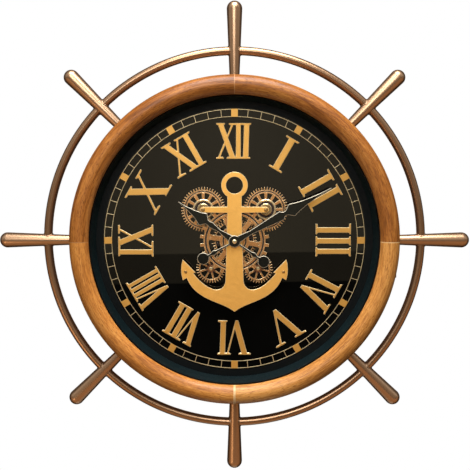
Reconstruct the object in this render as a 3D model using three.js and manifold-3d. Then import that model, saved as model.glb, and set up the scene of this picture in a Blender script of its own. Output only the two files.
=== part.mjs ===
// Ship wheel clock for a wall: a welded wheel of rod and handles round a drum, a hinged wooden bezel
// with glass, a dial with an anchor, open gears and two hands.
//
// The clock is drawn in face coordinates, x to the right, y up and z forward from the wall, and the
// whole face is then turned upright so that +Z is up and the dial looks towards -Y.

import * as THREE from 'three';
import { mergeVertices } from 'three/addons/utils/BufferGeometryUtils.js';
import Module from 'manifold-3d';

const wasm = await Module();
wasm.setup();

// Driving dimensions in millimetres. Depths run forward from the wall.

// Wheel
const HANDLE_REACH = 119.5;
const HANDLE_COUNT = 8;
const HANDLE_DEPTH = 19;
const HANDLE_ROOT_RADIUS = 6.9;
const HANDLE_GRIP_RADIUS = 11.4;
const RIM_REACH = 47.5;
const RIM_ROD_RADIUS = 6.35;

// Case
const DRUM_WALL = 3;
const DRUM_DEPTH = 30.5;
const DRUM_LEDGE_WIDTH = 13;
const DRUM_LEDGE_THICKNESS = 2.5;
const DRUM_LIP_WIDTH = 10;
const DRUM_LIP_THICKNESS = 2;
const COVER_THICKNESS = 3;
const HANGER_DROP = 80.5;
const HANGER_WIDTH = 60;
const HANGER_TALL = 36;
const HANGER_THICKNESS = 1.5;
const KEYHOLE_RADIUS = 6;
const KEYHOLE_SLOT = 6;
const KEYHOLE_RISE = 10.8;

// Dial
const DIAL_FRONT = 26;
const DIAL_THICKNESS = 2;
const DIAL_OPENING_RADIUS = 205.7;
const DIAL_RING_FLARE = 5.2;
const DIAL_RING_EDGE = 1.6;
const DIAL_RING_FLANGE = 2.5;

// Bezel
const BEZEL_REVEAL = 1.1;
const BEZEL_WIDTH = 28.8;
const BEZEL_OVERHANG = 10.3;
const BEZEL_REBATE = 5.1;
const BEZEL_CROWN = 12.5;
const BEZEL_SHOULDER = 15.5;
const BEZEL_CHAMFER = 2;
const BEZEL_ARCS = 4;
const GLASS_THICKNESS = 3;
const RETAINER_DEPTH = 2.7;
const RETAINER_WIDTH = 5.2;
const MAGNET_RADIUS = 5;
const MAGNET_DEPTH = 3;
const MAGNET_ANGLE = 174;

// Hinge
const HINGE_OFFSET = 3;
const HINGE_TOP = -16;
const HINGE_LENGTH = 39;
const HINGE_BARREL_RADIUS = 2.5;
const HINGE_PIN_RADIUS = 1.2;
const HINGE_LEAF_THICKNESS = 1.4;
const HINGE_LEAF_WIDTH = 3.6;
const HINGE_BLOCK_DEPTH = 7;
const HINGE_WEB_THICKNESS = 2.5;

// Gears
const TOOTH_MODULE = 1.36;
const TOOTH_ADDENDUM = 0.7;
const TOOTH_DEDENDUM = 2.6;
const CENTRE_TEETH = 48;
const UPPER_TEETH = 48;
const LOWER_TEETH = 32;
const MOTOR_WHEEL_TEETH = 32;
const UPPER_WHEEL_ANGLE = 45;
const LOWER_WHEEL_ANGLE = 40;
const WHEEL_THICKNESS = 3;
const WHEEL_STANDOFF = 1.5;
const WHEEL_RIM_WIDTH = 4.2;
const UPPER_SPOKES = 12;
const UPPER_HUB_RADIUS = 15;
const UPPER_HUB_PROUD = 1;
const LOWER_SPOKES = 8;
const LOWER_SPOKE_ANGLE = 12;
const LOWER_HUB_RADIUS = 7.6;
const SPOKE_WIDTH = 3.2;
const MAIN_TEETH = 24;
const MAIN_TIP_RADIUS = 51.1;
const MAIN_TOOTH_DEPTH = 5.2;
const MAIN_TOOTH_SHARE = 0.46;
const MAIN_RIM_WIDTH = 4.6;
const MAIN_HUB_RADIUS = 21.5;
const MAIN_ARMS = 6;
const MAIN_ARM_WIDTH = 7.5;
const MAIN_ARM_ANGLE = -9;
const DRIVE_THICKNESS = 2.5;
const ARBOR_RADIUS = 8.2;

// Posts and fasteners
const UPPER_POST_RADIUS = 3;
const UPPER_POST_HEAD_RADIUS = 7.3;
const UPPER_SCREW_RADIUS = 1.5;
const UPPER_SCREW_HEAD_RADIUS = 3;
const LOWER_POST_RADIUS = 2.2;
const LOWER_POST_HEAD_RADIUS = 4.2;
const LOWER_POST_HEAD_THICKNESS = 0.8;
const STANDOFF_RADIUS = 4;
const STANDOFF_TENON_RADIUS = 2.2;
const FLUKE_SCREW_RADIUS = 1.2;
const FLUKE_SCREW_HEAD_RADIUS = 2.3;
const SCREW_HEAD_THICKNESS = 1.2;
const SCREW_CROWN_SHARE = 0.8;
const SCREW_REACH = 4;
const POST_TAIL = 1.5;

// Anchor, from the hands' axis
const ANCHOR_THICKNESS = 2;
const ANCHOR_RING_HEIGHT = 82;
const ANCHOR_RING_RADIUS = 19.5;
const ANCHOR_EYE_RADIUS = 12.3;
const ANCHOR_SHANK_HALF = 10.6;
const ANCHOR_CROWN_HALF = 13.4;
const ANCHOR_STOCK_HALF = 4.6;
const ANCHOR_STOCK_END = 4.2;
const ANCHOR_POINT_DROP = 105.2;
const ARM_INNER_DROP = 77.8;
const ARM_INNER_RISE = 18.7;
const ARM_BELLY_DROP = 89;
const FLUKE_SCREW_X = 72;
const FLUKE_SCREW_DROP = 45.3;
const FLUKE_HALF = 6.8;
const FLUKE_TIP_RISE = 18.3;
const FLUKE_TIP_SET = 2.6;
const FLUKE_BARB_DROP = 12.7;
const FLUKE_BARB_WIDTH = 3.4;
const FLUKE_NECK_SET = 8.5;
const FLUKE_INNER_REACH = 14.8;

// Hands
const HAND_THICKNESS = 1.2;
const HAND_BOSS_RADIUS = 8.8;
const HAND_TAIL_REACH = 52.3;
const HAND_TAIL_RADIUS = 8.8;
const HOUR_HAND_LENGTH = 100.3;
const HOUR_WAIST_AT = 27;
const HOUR_WAIST_HALF = 2.2;
const HOUR_COLLAR_AT = 42.4;
const HOUR_COLLAR_HALF = 4.6;
const HOUR_LEAF_AT = 56.4;
const HOUR_LEAF_HALF = 10.8;
const HOUR_HAND_ANGLE = 144.9;
const MINUTE_HAND_LENGTH = 161.2;
const MINUTE_WAIST_AT = 28;
const MINUTE_WAIST_HALF = 3;
const MINUTE_COLLAR_AT = 78.5;
const MINUTE_COLLAR_HALF = 7;
const MINUTE_LEAF_AT = 95.5;
const MINUTE_LEAF_HALF = 10;
const MINUTE_HAND_ANGLE = 28.9;
const HAND_NOTCH_HALF = 3.4;
const HAND_JOIN_ANGLE = 35;
const HAND_TAIL_WAIST_HALF = 2.2;
const LEAF_SHOULDERS = [[0.35, 0.42], [0.06, 0.86]];
const MINUTE_ARBOR_RADIUS = 2.2;
const HOUR_PIPE_WALL = 1.4;
const BUSHING_WALL = 1.2;
const NUT_RADIUS = 3.4;
const NUT_HEIGHT = 2.6;
const NUT_CROWN_SHARE = 0.7;

// Movement and gear motor
const MOVEMENT_SIZE = 56;
const MOVEMENT_DEPTH = 16.5;
const BATTERY_RADIUS = 7.1;
const BATTERY_LENGTH = 50;
const BATTERY_DROP = 18;
const KNOB_HEIGHT = 14;
const KNOB_RADIUS = 8;
const KNOB_THICKNESS = 2.1;
const KNOB_STEM_RADIUS = 2;
const KNOB_STEM_LENGTH = 4;
const MOTOR_WIDTH = 40;
const MOTOR_TALL = 58;
const MOTOR_SHAFT_RADIUS = 1.5;
const MOTOR_SHAFT_DEPTH = 8;

// Clearances
const WELD_GAP = 0.3;
const FIT_GAP = 0.3;
const RUNNING_GAP = 0.3;
const GLUE_GAP = 0.3;
const LAYER_GAP = 0.4;
const ANCHOR_GAP = 3;
const HAND_GAP = 0.9;
const GLASS_GAP = 1;
const DOOR_GAP = 0.5;
const DOOR_SIDE_GAP = 2.5;
const WINDOW_GAP = 1;
const CUT_OVERRUN = 1;

// Facet counts
const RING_SIDES = 40;
const HANDLE_SIDES = 14;
const ROD_SIDES = 8;
const RIM_STEPS = 10;
const SHAFT_SIDES = 16;
const SCREW_SIDES = 10;
const ROUND_STEPS = 4;
const CROWN_STEPS = 10;
const MAIN_WINDOW_STEPS = 3;
const SPOKE_WINDOW_STEPS = 1;

const DEGREE = Math.PI / 180;

// Depths that follow from the stack, each from the piece behind it
const coverFront = COVER_THICKNESS;
const drumFront = coverFront + DRUM_DEPTH;
const dialBack = DIAL_FRONT - DIAL_THICKNESS;
const movementFront = coverFront + MOVEMENT_DEPTH;
const driveFront = dialBack - LAYER_GAP * 2;
const driveBack = driveFront - DRIVE_THICKNESS;
const wheelBack = DIAL_FRONT + WHEEL_STANDOFF;
const wheelFront = wheelBack + WHEEL_THICKNESS;
const hubBack = DIAL_FRONT + RUNNING_GAP;
const upperHubFront = wheelFront + UPPER_HUB_PROUD;
const lowerHeadFront = wheelFront + RUNNING_GAP + LOWER_POST_HEAD_THICKNESS;
const mainBack = Math.max(upperHubFront, lowerHeadFront) + LAYER_GAP;
const mainFront = mainBack + WHEEL_THICKNESS;
const anchorBack = mainFront + ANCHOR_GAP;
const anchorFront = anchorBack + ANCHOR_THICKNESS;
const screwFront = anchorFront + SCREW_HEAD_THICKNESS;
const hourBack = screwFront + HAND_GAP;
const hourFront = hourBack + HAND_THICKNESS;
const minuteBack = hourFront + HAND_GAP;
const minuteFront = minuteBack + HAND_THICKNESS;
const nutFront = minuteFront + NUT_HEIGHT;
const glassBack = nutFront + GLASS_GAP;
const glassFront = glassBack + GLASS_THICKNESS;
const retainerBack = glassBack - RETAINER_DEPTH;
const dialRingFront = retainerBack - DOOR_GAP;
const bezelBack = drumFront + DOOR_GAP;
const hingeDepth = bezelBack - HINGE_BARREL_RADIUS - DOOR_GAP;

// Radii and places that follow from other sizes
const facetShare = Math.cos(Math.PI / RING_SIDES);
const flareRadius = DIAL_OPENING_RADIUS + DIAL_RING_FLARE;
const bezelInner = flareRadius + BEZEL_REVEAL;
const bezelOuter = bezelInner + BEZEL_WIDTH;
const hingeX = bezelOuter - HINGE_OFFSET;
const drumRadius = bezelOuter - BEZEL_OVERHANG;
const drumInner = drumRadius - DRUM_WALL;
const rimRadius = drumRadius + RIM_REACH;
const hangerHeight = drumRadius - HANGER_DROP;
const ledgeInner = drumInner - DRUM_LEDGE_WIDTH;
const rebateRadius = bezelInner + BEZEL_REBATE;
const glassRadius = rebateRadius - FIT_GAP;
const centrePitch = pitchRadius(CENTRE_TEETH);
const upperPlace = placeOf(UPPER_WHEEL_ANGLE, centrePitch + pitchRadius(UPPER_TEETH));
const lowerPlace = placeOf(LOWER_WHEEL_ANGLE - 90, centrePitch + pitchRadius(LOWER_TEETH));
const motorReach = centrePitch + pitchRadius(MOTOR_WHEEL_TEETH);
const motorRight = -(MOVEMENT_SIZE / 2 + 2 * WINDOW_GAP);
const pipeBore = MINUTE_ARBOR_RADIUS + RUNNING_GAP;
const pipeRadius = pipeBore / facet(SHAFT_SIDES) + HOUR_PIPE_WALL;
const bushingBore = pipeRadius + RUNNING_GAP;
const bushingRadius = bushingBore / facet(SHAFT_SIDES) + BUSHING_WALL;
const arborBore = bushingRadius + RUNNING_GAP;
const fluke = new THREE.Vector2(FLUKE_SCREW_X, -FLUKE_SCREW_DROP);

// Finishes
const bronze = finish(0x96704a, 0.38, 0.85);
const copper = finish(0xb98458, 0.4, 0.8);
const gold = finish(0xdca85a, 0.45, 0.55);
const black = finish(0x14120f, 0.6, 0.1);
const teal = finish(0x1e2626, 0.5, 0.1);
const steel = finish(0xa9a59c, 0.35, 0.9);
const brass = finish(0xc9a45c, 0.35, 0.85);
const handBlack = finish(0x23261f, 0.2, 0.7);
const casing = finish(0x1c1c1d, 0.6, 0);
const cellSleeve = finish(0x3b4a41, 0.45, 0.1);
const glass = new THREE.MeshStandardMaterial({
  color: 0xdfe8e6,
  roughness: 0.03,
  metalness: 0,
  transparent: true,
  opacity: 0.25,
});
const woods = [0xa9672f, 0xb87a3d, 0xb5763a, 0x9c5a2a].map((colour) => finish(colour, 0.5, 0));

// One arc of the rim's centre line, clockwise from twelve o'clock.
class RimArc extends THREE.Curve {
  constructor(radius, angle) {
    super();
    this.radius = radius;
    this.angle = angle;
  }

  getPoint(share, target = new THREE.Vector3()) {
    const turn = share * this.angle;
    return target.set(this.radius * Math.sin(turn), this.radius * Math.cos(turn), 0);
  }
}

const clock = new THREE.Group();
const face = new THREE.Group();
face.rotation.x = Math.PI / 2;
clock.add(face);

addWheel();
addCase();
addDial();
addBezel();
addHinge();
addGears();
addAnchor();
addHands();
addMovement();
addGearMotor();

export default clock;

// Eight handles on the drum, and eight arcs of rod between them.
function addWheel() {
  const tip = drumRadius + HANDLE_REACH;
  const root = drumRadius * facetShare + WELD_GAP;
  const handle = lathe(handleProfile(root, tip, 0), HANDLE_SIDES);
  const cutter = lathe(handleProfile(root - WELD_GAP, tip, WELD_GAP), HANDLE_SIDES);
  const step = (2 * Math.PI) / HANDLE_COUNT;
  const nextCutter = cutter.clone().rotateZ(-step);
  const rod = new THREE.ExtrudeGeometry(outline(circle(RIM_ROD_RADIUS, ROD_SIDES)), {
    steps: RIM_STEPS,
    extrudePath: new RimArc(rimRadius, step),
  });
  const arc = shapeOf(solid(rod).subtract(solid(cutter)).subtract(solid(nextCutter)));
  for (let i = 0; i < HANDLE_COUNT; i += 1) {
    const spoke = new THREE.Group();
    spoke.position.z = HANDLE_DEPTH;
    spoke.rotation.z = -i * step;
    face.add(spoke);
    spoke.add(piece(`handle_${i + 1}`, handle, bronze));
    spoke.add(piece(`rim_arc_${i + 1}`, arc, bronze));
  }
}

// A handle's half section: a cone that widens outwards to a ball end, grown all round by extra.
function handleProfile(root, tip, extra) {
  const ball = tip - HANDLE_GRIP_RADIUS;
  const profile = [[0, root], [HANDLE_ROOT_RADIUS + extra, root]];
  for (let i = 0; i < ROUND_STEPS; i += 1) {
    const turn = (i / ROUND_STEPS) * (Math.PI / 2);
    const reach = HANDLE_GRIP_RADIUS + extra;
    profile.push([reach * Math.cos(turn), ball + reach * Math.sin(turn)]);
  }
  profile.push([0, tip + extra]);
  return profile;
}

// The drum with its dial ledge, the back cover with its windows, and the hanger plate.
function addCase() {
  const ledgeBack = dialBack - DRUM_LEDGE_THICKNESS;
  const lipFront = coverFront + DRUM_LIP_THICKNESS;
  const lipInner = drumInner - DRUM_LIP_WIDTH;
  const drum = ring([
    [drumRadius, coverFront],
    [drumRadius, drumFront],
    [drumInner, drumFront],
    [drumInner, dialBack],
    [ledgeInner, dialBack],
    [ledgeInner, ledgeBack],
    [drumInner, ledgeBack],
    [drumInner, lipFront],
    [lipInner, lipFront],
    [lipInner, coverFront],
  ]);
  face.add(piece('case_drum', drum, bronze));

  const cover = outline(circle(drumRadius, RING_SIDES, 0, 0, Math.PI / RING_SIDES));
  const cell = cellWindow();
  cover.holes.push(
    path(box(cell.x, cell.y, 0, -BATTERY_DROP)),
    path(circle(KNOB_RADIUS + WINDOW_GAP, SHAFT_SIDES, 0, KNOB_HEIGHT)),
    path(box(cell.y, cell.x, motorCellX(), 0)),
    path(box(HANGER_WIDTH / 2, HANGER_TALL - KEYHOLE_RADIUS, 0, hangerHeight)),
  );
  face.add(piece('back_cover', plate(cover, 0, COVER_THICKNESS), black));

  const hanger = outline(box(HANGER_WIDTH, HANGER_TALL, 0, hangerHeight));
  hanger.holes.push(path(keyhole()));
  face.add(piece('hanger_plate', plate(hanger, coverFront, HANGER_THICKNESS), steel));
}

// A keyhole: a round hole with a narrower slot rising from it.
function keyhole() {
  const half = KEYHOLE_SLOT / 2;
  const low = hangerHeight - KEYHOLE_RADIUS / 2;
  const join = Math.asin(half / KEYHOLE_RADIUS);
  const points = [];
  for (let i = 0; i <= SHAFT_SIDES; i += 1) {
    const turn = Math.PI / 2 + join + (i / SHAFT_SIDES) * (2 * Math.PI - 2 * join);
    points.push([KEYHOLE_RADIUS * Math.cos(turn), low + KEYHOLE_RADIUS * Math.sin(turn)]);
  }
  const top = low + KEYHOLE_RISE;
  return points.concat([[half, top], [-half, top]]);
}

// The dial sheet on the drum's ledge, and the sloped ring that rises from it to the glass.
function addDial() {
  const dial = outline(circle(drumInner - FIT_GAP, RING_SIDES, 0, 0, Math.PI / RING_SIDES));
  dial.holes.push(path(bore(ARBOR_RADIUS + RUNNING_GAP)));
  for (const side of [-1, 1]) {
    dial.holes.push(
      path(bore(UPPER_POST_RADIUS + FIT_GAP, side * upperPlace.x, upperPlace.y)),
      path(bore(LOWER_POST_RADIUS + FIT_GAP, side * lowerPlace.x, lowerPlace.y)),
      path(bore(STANDOFF_TENON_RADIUS + FIT_GAP, side * fluke.x, fluke.y)),
    );
  }
  face.add(piece('dial_plate', plate(dial, dialBack, DIAL_THICKNESS), black));

  const dialRing = ring([
    [DIAL_OPENING_RADIUS, DIAL_FRONT],
    [drumInner - FIT_GAP, DIAL_FRONT],
    [drumInner - FIT_GAP, DIAL_FRONT + DIAL_RING_FLANGE],
    [rebateRadius - DOOR_SIDE_GAP, DIAL_FRONT + DIAL_RING_FLANGE],
    [flareRadius + DIAL_RING_EDGE, dialRingFront],
    [flareRadius, dialRingFront],
  ]);
  face.add(piece('dial_ring', dialRing, teal));
}

// The wooden ring in four arcs, the glass in its rebate, the retainer behind it and the catch magnet.
function addBezel() {
  const crownMiddle = (bezelInner + bezelOuter) / 2;
  const crownHalf = bezelOuter - crownMiddle;
  const profile = [
    [rebateRadius, bezelBack],
    [bezelOuter - BEZEL_CHAMFER, bezelBack],
    [bezelOuter, bezelBack + BEZEL_CHAMFER],
  ];
  const shoulder = bezelBack + BEZEL_SHOULDER;
  for (let i = 0; i <= CROWN_STEPS; i += 1) {
    const turn = (i / CROWN_STEPS) * Math.PI;
    const foot = i * 2 < CROWN_STEPS ? shoulder : glassFront;
    const rise = glassFront + BEZEL_CROWN - foot;
    profile.push([crownMiddle + crownHalf * Math.cos(turn), foot + rise * Math.sin(turn)]);
  }
  profile.push([rebateRadius, glassFront]);
  const whole = solid(ring(profile));
  const sector = (2 * Math.PI) / BEZEL_ARCS;
  const pocket = solid(
    plate(outline(bore(MAGNET_RADIUS + FIT_GAP)), bezelBack - FIT_GAP, MAGNET_DEPTH + 2 * FIT_GAP)
      .translate(...magnetPlace(), 0),
  );
  for (let i = 0; i < BEZEL_ARCS; i += 1) {
    const wedge = solid(wedgeBlock(sector).rotateZ(Math.PI / 2 - (i + 1) * sector));
    const arc = whole.intersect(wedge).subtract(pocket);
    face.add(piece(`wood_arc_${i + 1}`, shapeOf(arc), woods[i % woods.length]));
  }

  const pane = ring([[0, glassBack], [glassRadius, glassBack], [glassRadius, glassFront], [0, glassFront]]);
  face.add(piece('glass_pane', pane, glass));
  const retainer = ring([
    [glassRadius - RETAINER_WIDTH, retainerBack],
    [glassRadius, retainerBack],
    [glassRadius, glassBack],
    [glassRadius - RETAINER_WIDTH, glassBack],
  ]);
  face.add(piece('glass_retainer', retainer, black));
  const magnet = plate(outline(circle(MAGNET_RADIUS, SHAFT_SIDES)), bezelBack, MAGNET_DEPTH);
  face.add(piece('catch_magnet', magnet.translate(...magnetPlace(), 0), steel));
}

// The block that one bezel arc fills, from its first joint to its second, less half the glue line.
function wedgeBlock(sector) {
  const reach = bezelOuter * 2;
  const half = GLUE_GAP / 2;
  const start = half / Math.tan(sector / 2);
  const points = [
    [start, half],
    [reach, half],
    [reach * Math.cos(sector / 2), reach * Math.sin(sector / 2)],
    [reach * Math.cos(sector) + half * Math.sin(sector), reach * Math.sin(sector) - half * Math.cos(sector)],
  ];
  return plate(outline(points), 0, glassFront + BEZEL_CROWN * 2);
}

// The middle of the drum's front edge, where the magnet meets it.
function magnetPlace() {
  const reach = drumRadius - DRUM_WALL / 2;
  return [reach * Math.cos(MAGNET_ANGLE * DEGREE), reach * Math.sin(MAGNET_ANGLE * DEGREE)];
}

// A hinge of three knuckles on an upright pin behind the bezel's right edge.
function addHinge() {
  const knuckle = HINGE_LENGTH / 3;
  const bottom = HINGE_TOP - HINGE_LENGTH;
  const drumCutter = solid(
    plate(outline(circle(drumRadius + FIT_GAP, RING_SIDES, 0, 0, Math.PI / RING_SIDES)), 0, drumFront),
  );
  const webFront = hingeDepth - HINGE_BARREL_RADIUS + HINGE_WEB_THICKNESS / 2;
  const webBack = webFront - HINGE_WEB_THICKNESS;
  const blockRight = hingeX - HINGE_BARREL_RADIUS;
  const blockLeft = drumRadius - HINGE_LENGTH / 2;
  const middle = (HINGE_TOP + bottom) / 2;
  const pinHole = solid(
    upright(circle(HINGE_PIN_RADIUS + FIT_GAP, SHAFT_SIDES), bottom - CUT_OVERRUN, HINGE_TOP + CUT_OVERRUN),
  );

  let caseLeaf = solid(
    plate(
      outline(box((blockRight - blockLeft), HINGE_LENGTH, (blockRight + blockLeft) / 2, middle)),
      webBack - HINGE_BLOCK_DEPTH,
      HINGE_BLOCK_DEPTH,
    ),
  );
  for (const end of [bottom, HINGE_TOP - knuckle]) {
    const low = end + (end === bottom ? 0 : RUNNING_GAP / 2);
    const high = end + knuckle - (end === bottom ? RUNNING_GAP / 2 : 0);
    const web = outline(box(hingeX - blockLeft, high - low, (hingeX + blockLeft) / 2, (low + high) / 2));
    caseLeaf = caseLeaf
      .add(solid(plate(web, webBack, HINGE_WEB_THICKNESS)))
      .add(solid(upright(circle(HINGE_BARREL_RADIUS, SHAFT_SIDES), low, high)));
  }
  caseLeaf = caseLeaf.subtract(drumCutter).subtract(pinHole);
  face.add(piece('hinge_case_leaf', shapeOf(caseLeaf), bronze));

  const low = bottom + knuckle + RUNNING_GAP / 2;
  const high = HINGE_TOP - knuckle - RUNNING_GAP / 2;
  const leafBack = bezelBack - HINGE_LEAF_THICKNESS;
  const leafRight = hingeX - HINGE_BARREL_RADIUS - DOOR_GAP;
  const leafMiddle = leafRight - HINGE_LEAF_WIDTH / 2;
  const leaf = outline(box(HINGE_LEAF_WIDTH, HINGE_LENGTH, leafMiddle, middle));
  const bridge = outline(box(hingeX - leafMiddle, high - low, (hingeX + leafMiddle) / 2, middle));
  const doorLeaf = solid(plate(leaf, leafBack, HINGE_LEAF_THICKNESS))
    .add(solid(plate(bridge, leafBack, HINGE_LEAF_THICKNESS)))
    .add(solid(upright(circle(HINGE_BARREL_RADIUS, SHAFT_SIDES), low, high)))
    .subtract(pinHole);
  face.add(piece('hinge_door_leaf', shapeOf(doorLeaf), bronze));

  const pin = upright(circle(HINGE_PIN_RADIUS, SHAFT_SIDES), bottom, HINGE_TOP);
  face.add(piece('hinge_pin', pin, steel));
}

// An upright prism on the hinge's axis, from one height to another.
function upright(points, low, high) {
  const prism = plate(outline(points), 0, high - low);
  return prism.rotateX(-Math.PI / 2).translate(hingeX, low, hingeDepth);
}

// The train: a centre wheel and a coarse main gear on one arbor, four wheels round them on posts.
function addGears() {
  const centre = outline(teeth(CENTRE_TEETH, 0));
  centre.holes.push(path(bore(ARBOR_RADIUS + FIT_GAP)));
  face.add(piece('centre_wheel', plate(centre, wheelBack, WHEEL_THICKNESS), copper));

  const main = outline(blockTeeth());
  main.holes.push(path(bore(ARBOR_RADIUS + FIT_GAP)));
  const mainRim = MAIN_TIP_RADIUS - MAIN_TOOTH_DEPTH - MAIN_RIM_WIDTH;
  addWindows(main, MAIN_ARMS, MAIN_HUB_RADIUS, mainRim, MAIN_ARM_WIDTH, MAIN_ARM_ANGLE, MAIN_WINDOW_STEPS);
  face.add(piece('main_gear', plate(main, mainBack, WHEEL_THICKNESS), copper));

  const drive = outline(teeth(CENTRE_TEETH, 0));
  const tube = outline(circle(ARBOR_RADIUS, SHAFT_SIDES));
  const arborLength = mainFront + LAYER_GAP - driveBack;
  const through = plate(outline(bore(arborBore)), driveBack - CUT_OVERRUN, arborLength + 2 * CUT_OVERRUN);
  const arbor = solid(plate(drive, driveBack, DRIVE_THICKNESS))
    .add(solid(plate(tube, driveBack, arborLength)))
    .subtract(solid(through));
  face.add(piece('gear_arbor', shapeOf(arbor), brass));

  for (const [name, side] of [['left', -1], ['right', 1]]) {
    addUpperWheel(name, side);
    addLowerWheel(name, side);
  }
}

// One of the two large wheels, turning on the post that also carries an end of the anchor's stock.
function addUpperWheel(name, side) {
  const { x, y } = upperPlace;
  const direction = Math.atan2(y, side * x);
  const rim = outline(teeth(UPPER_TEETH, meshPhase(UPPER_TEETH, direction)));
  const rimInner = pitchRadius(UPPER_TEETH) - TOOTH_DEDENDUM - WHEEL_RIM_WIDTH;
  addWindows(rim, UPPER_SPOKES, UPPER_HUB_RADIUS, rimInner, SPOKE_WIDTH, 0, SPOKE_WINDOW_STEPS);
  const hub = outline(circle(UPPER_HUB_RADIUS, SHAFT_SIDES));
  const hole = outline(bore(UPPER_POST_RADIUS + RUNNING_GAP));
  const wheel = solid(plate(rim, wheelBack, WHEEL_THICKNESS))
    .add(solid(plate(hub, hubBack, upperHubFront - hubBack)))
    .subtract(solid(plate(hole, hubBack - CUT_OVERRUN, upperHubFront - hubBack + 2 * CUT_OVERRUN)));
  face.add(piece(`upper_wheel_${name}`, shapeOf(wheel).translate(side * x, y, 0), copper));

  const headBack = upperHubFront + RUNNING_GAP;
  const post = lathe(
    postProfile(UPPER_POST_RADIUS, dialBack - POST_TAIL, headBack, UPPER_POST_HEAD_RADIUS, UPPER_SCREW_RADIUS),
    SHAFT_SIDES,
  );
  face.add(piece(`upper_post_${name}`, forward(post).translate(side * x, y, 0), brass));
  const screw = lathe(screwProfile(UPPER_SCREW_RADIUS, UPPER_SCREW_HEAD_RADIUS), SCREW_SIDES);
  face.add(piece(`stock_screw_${name}`, forward(screw).translate(side * x, y, 0), steel));
}

// One of the two small wheels, turning on a headed post.
function addLowerWheel(name, side) {
  const { x, y } = lowerPlace;
  const direction = Math.atan2(y, side * x);
  const rim = outline(teeth(LOWER_TEETH, meshPhase(LOWER_TEETH, direction)));
  const rimInner = pitchRadius(LOWER_TEETH) - TOOTH_DEDENDUM - WHEEL_RIM_WIDTH / 2;
  const spokeAngle = side * LOWER_SPOKE_ANGLE;
  addWindows(rim, LOWER_SPOKES, LOWER_HUB_RADIUS, rimInner, SPOKE_WIDTH, spokeAngle, SPOKE_WINDOW_STEPS);
  const hub = outline(circle(LOWER_HUB_RADIUS, SHAFT_SIDES));
  const hole = outline(bore(LOWER_POST_RADIUS + RUNNING_GAP));
  const wheel = solid(plate(rim, wheelBack, WHEEL_THICKNESS))
    .add(solid(plate(hub, hubBack, wheelFront - hubBack)))
    .subtract(solid(plate(hole, hubBack - CUT_OVERRUN, wheelFront - hubBack + 2 * CUT_OVERRUN)));
  face.add(piece(`lower_wheel_${name}`, shapeOf(wheel).translate(side * x, y, 0), copper));

  const headBack = wheelFront + RUNNING_GAP;
  const post = lathe([
    [0, dialBack - POST_TAIL],
    [LOWER_POST_RADIUS, dialBack - POST_TAIL],
    [LOWER_POST_RADIUS, headBack],
    [LOWER_POST_HEAD_RADIUS, headBack],
    [LOWER_POST_HEAD_RADIUS, lowerHeadFront],
    [0, lowerHeadFront],
  ], SHAFT_SIDES);
  face.add(piece(`lower_post_${name}`, forward(post).translate(side * x, y, 0), copper));
}

// The flat anchor, its two fluke stand-offs and their screws.
function addAnchor() {
  const half = anchorHalf();
  const mirrored = half.map(([x, y]) => [-x, y]).reverse();
  const anchor = outline(half.concat(mirrored.slice(1)));
  anchor.holes.push(
    path(circle(ANCHOR_EYE_RADIUS, SHAFT_SIDES, 0, ANCHOR_RING_HEIGHT)),
    path(bore(bushingRadius + FIT_GAP)),
  );
  for (const side of [-1, 1]) {
    anchor.holes.push(
      path(bore(UPPER_SCREW_RADIUS + FIT_GAP, side * upperPlace.x, upperPlace.y, SCREW_SIDES)),
      path(bore(FLUKE_SCREW_RADIUS + FIT_GAP, side * fluke.x, fluke.y, SCREW_SIDES)),
    );
  }
  face.add(piece('anchor_plate', plate(anchor, anchorBack, ANCHOR_THICKNESS), gold));

  for (const [name, side] of [['left', -1], ['right', 1]]) {
    const standoff = lathe(
      postProfile(STANDOFF_TENON_RADIUS, dialBack, DIAL_FRONT, STANDOFF_RADIUS, FLUKE_SCREW_RADIUS),
      SHAFT_SIDES,
    );
    face.add(piece(`fluke_standoff_${name}`, forward(standoff).translate(side * fluke.x, fluke.y, 0), brass));
    const screw = lathe(screwProfile(FLUKE_SCREW_RADIUS, FLUKE_SCREW_HEAD_RADIUS), SCREW_SIDES);
    face.add(piece(`fluke_screw_${name}`, forward(screw).translate(side * fluke.x, fluke.y, 0), steel));
  }
}

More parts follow.
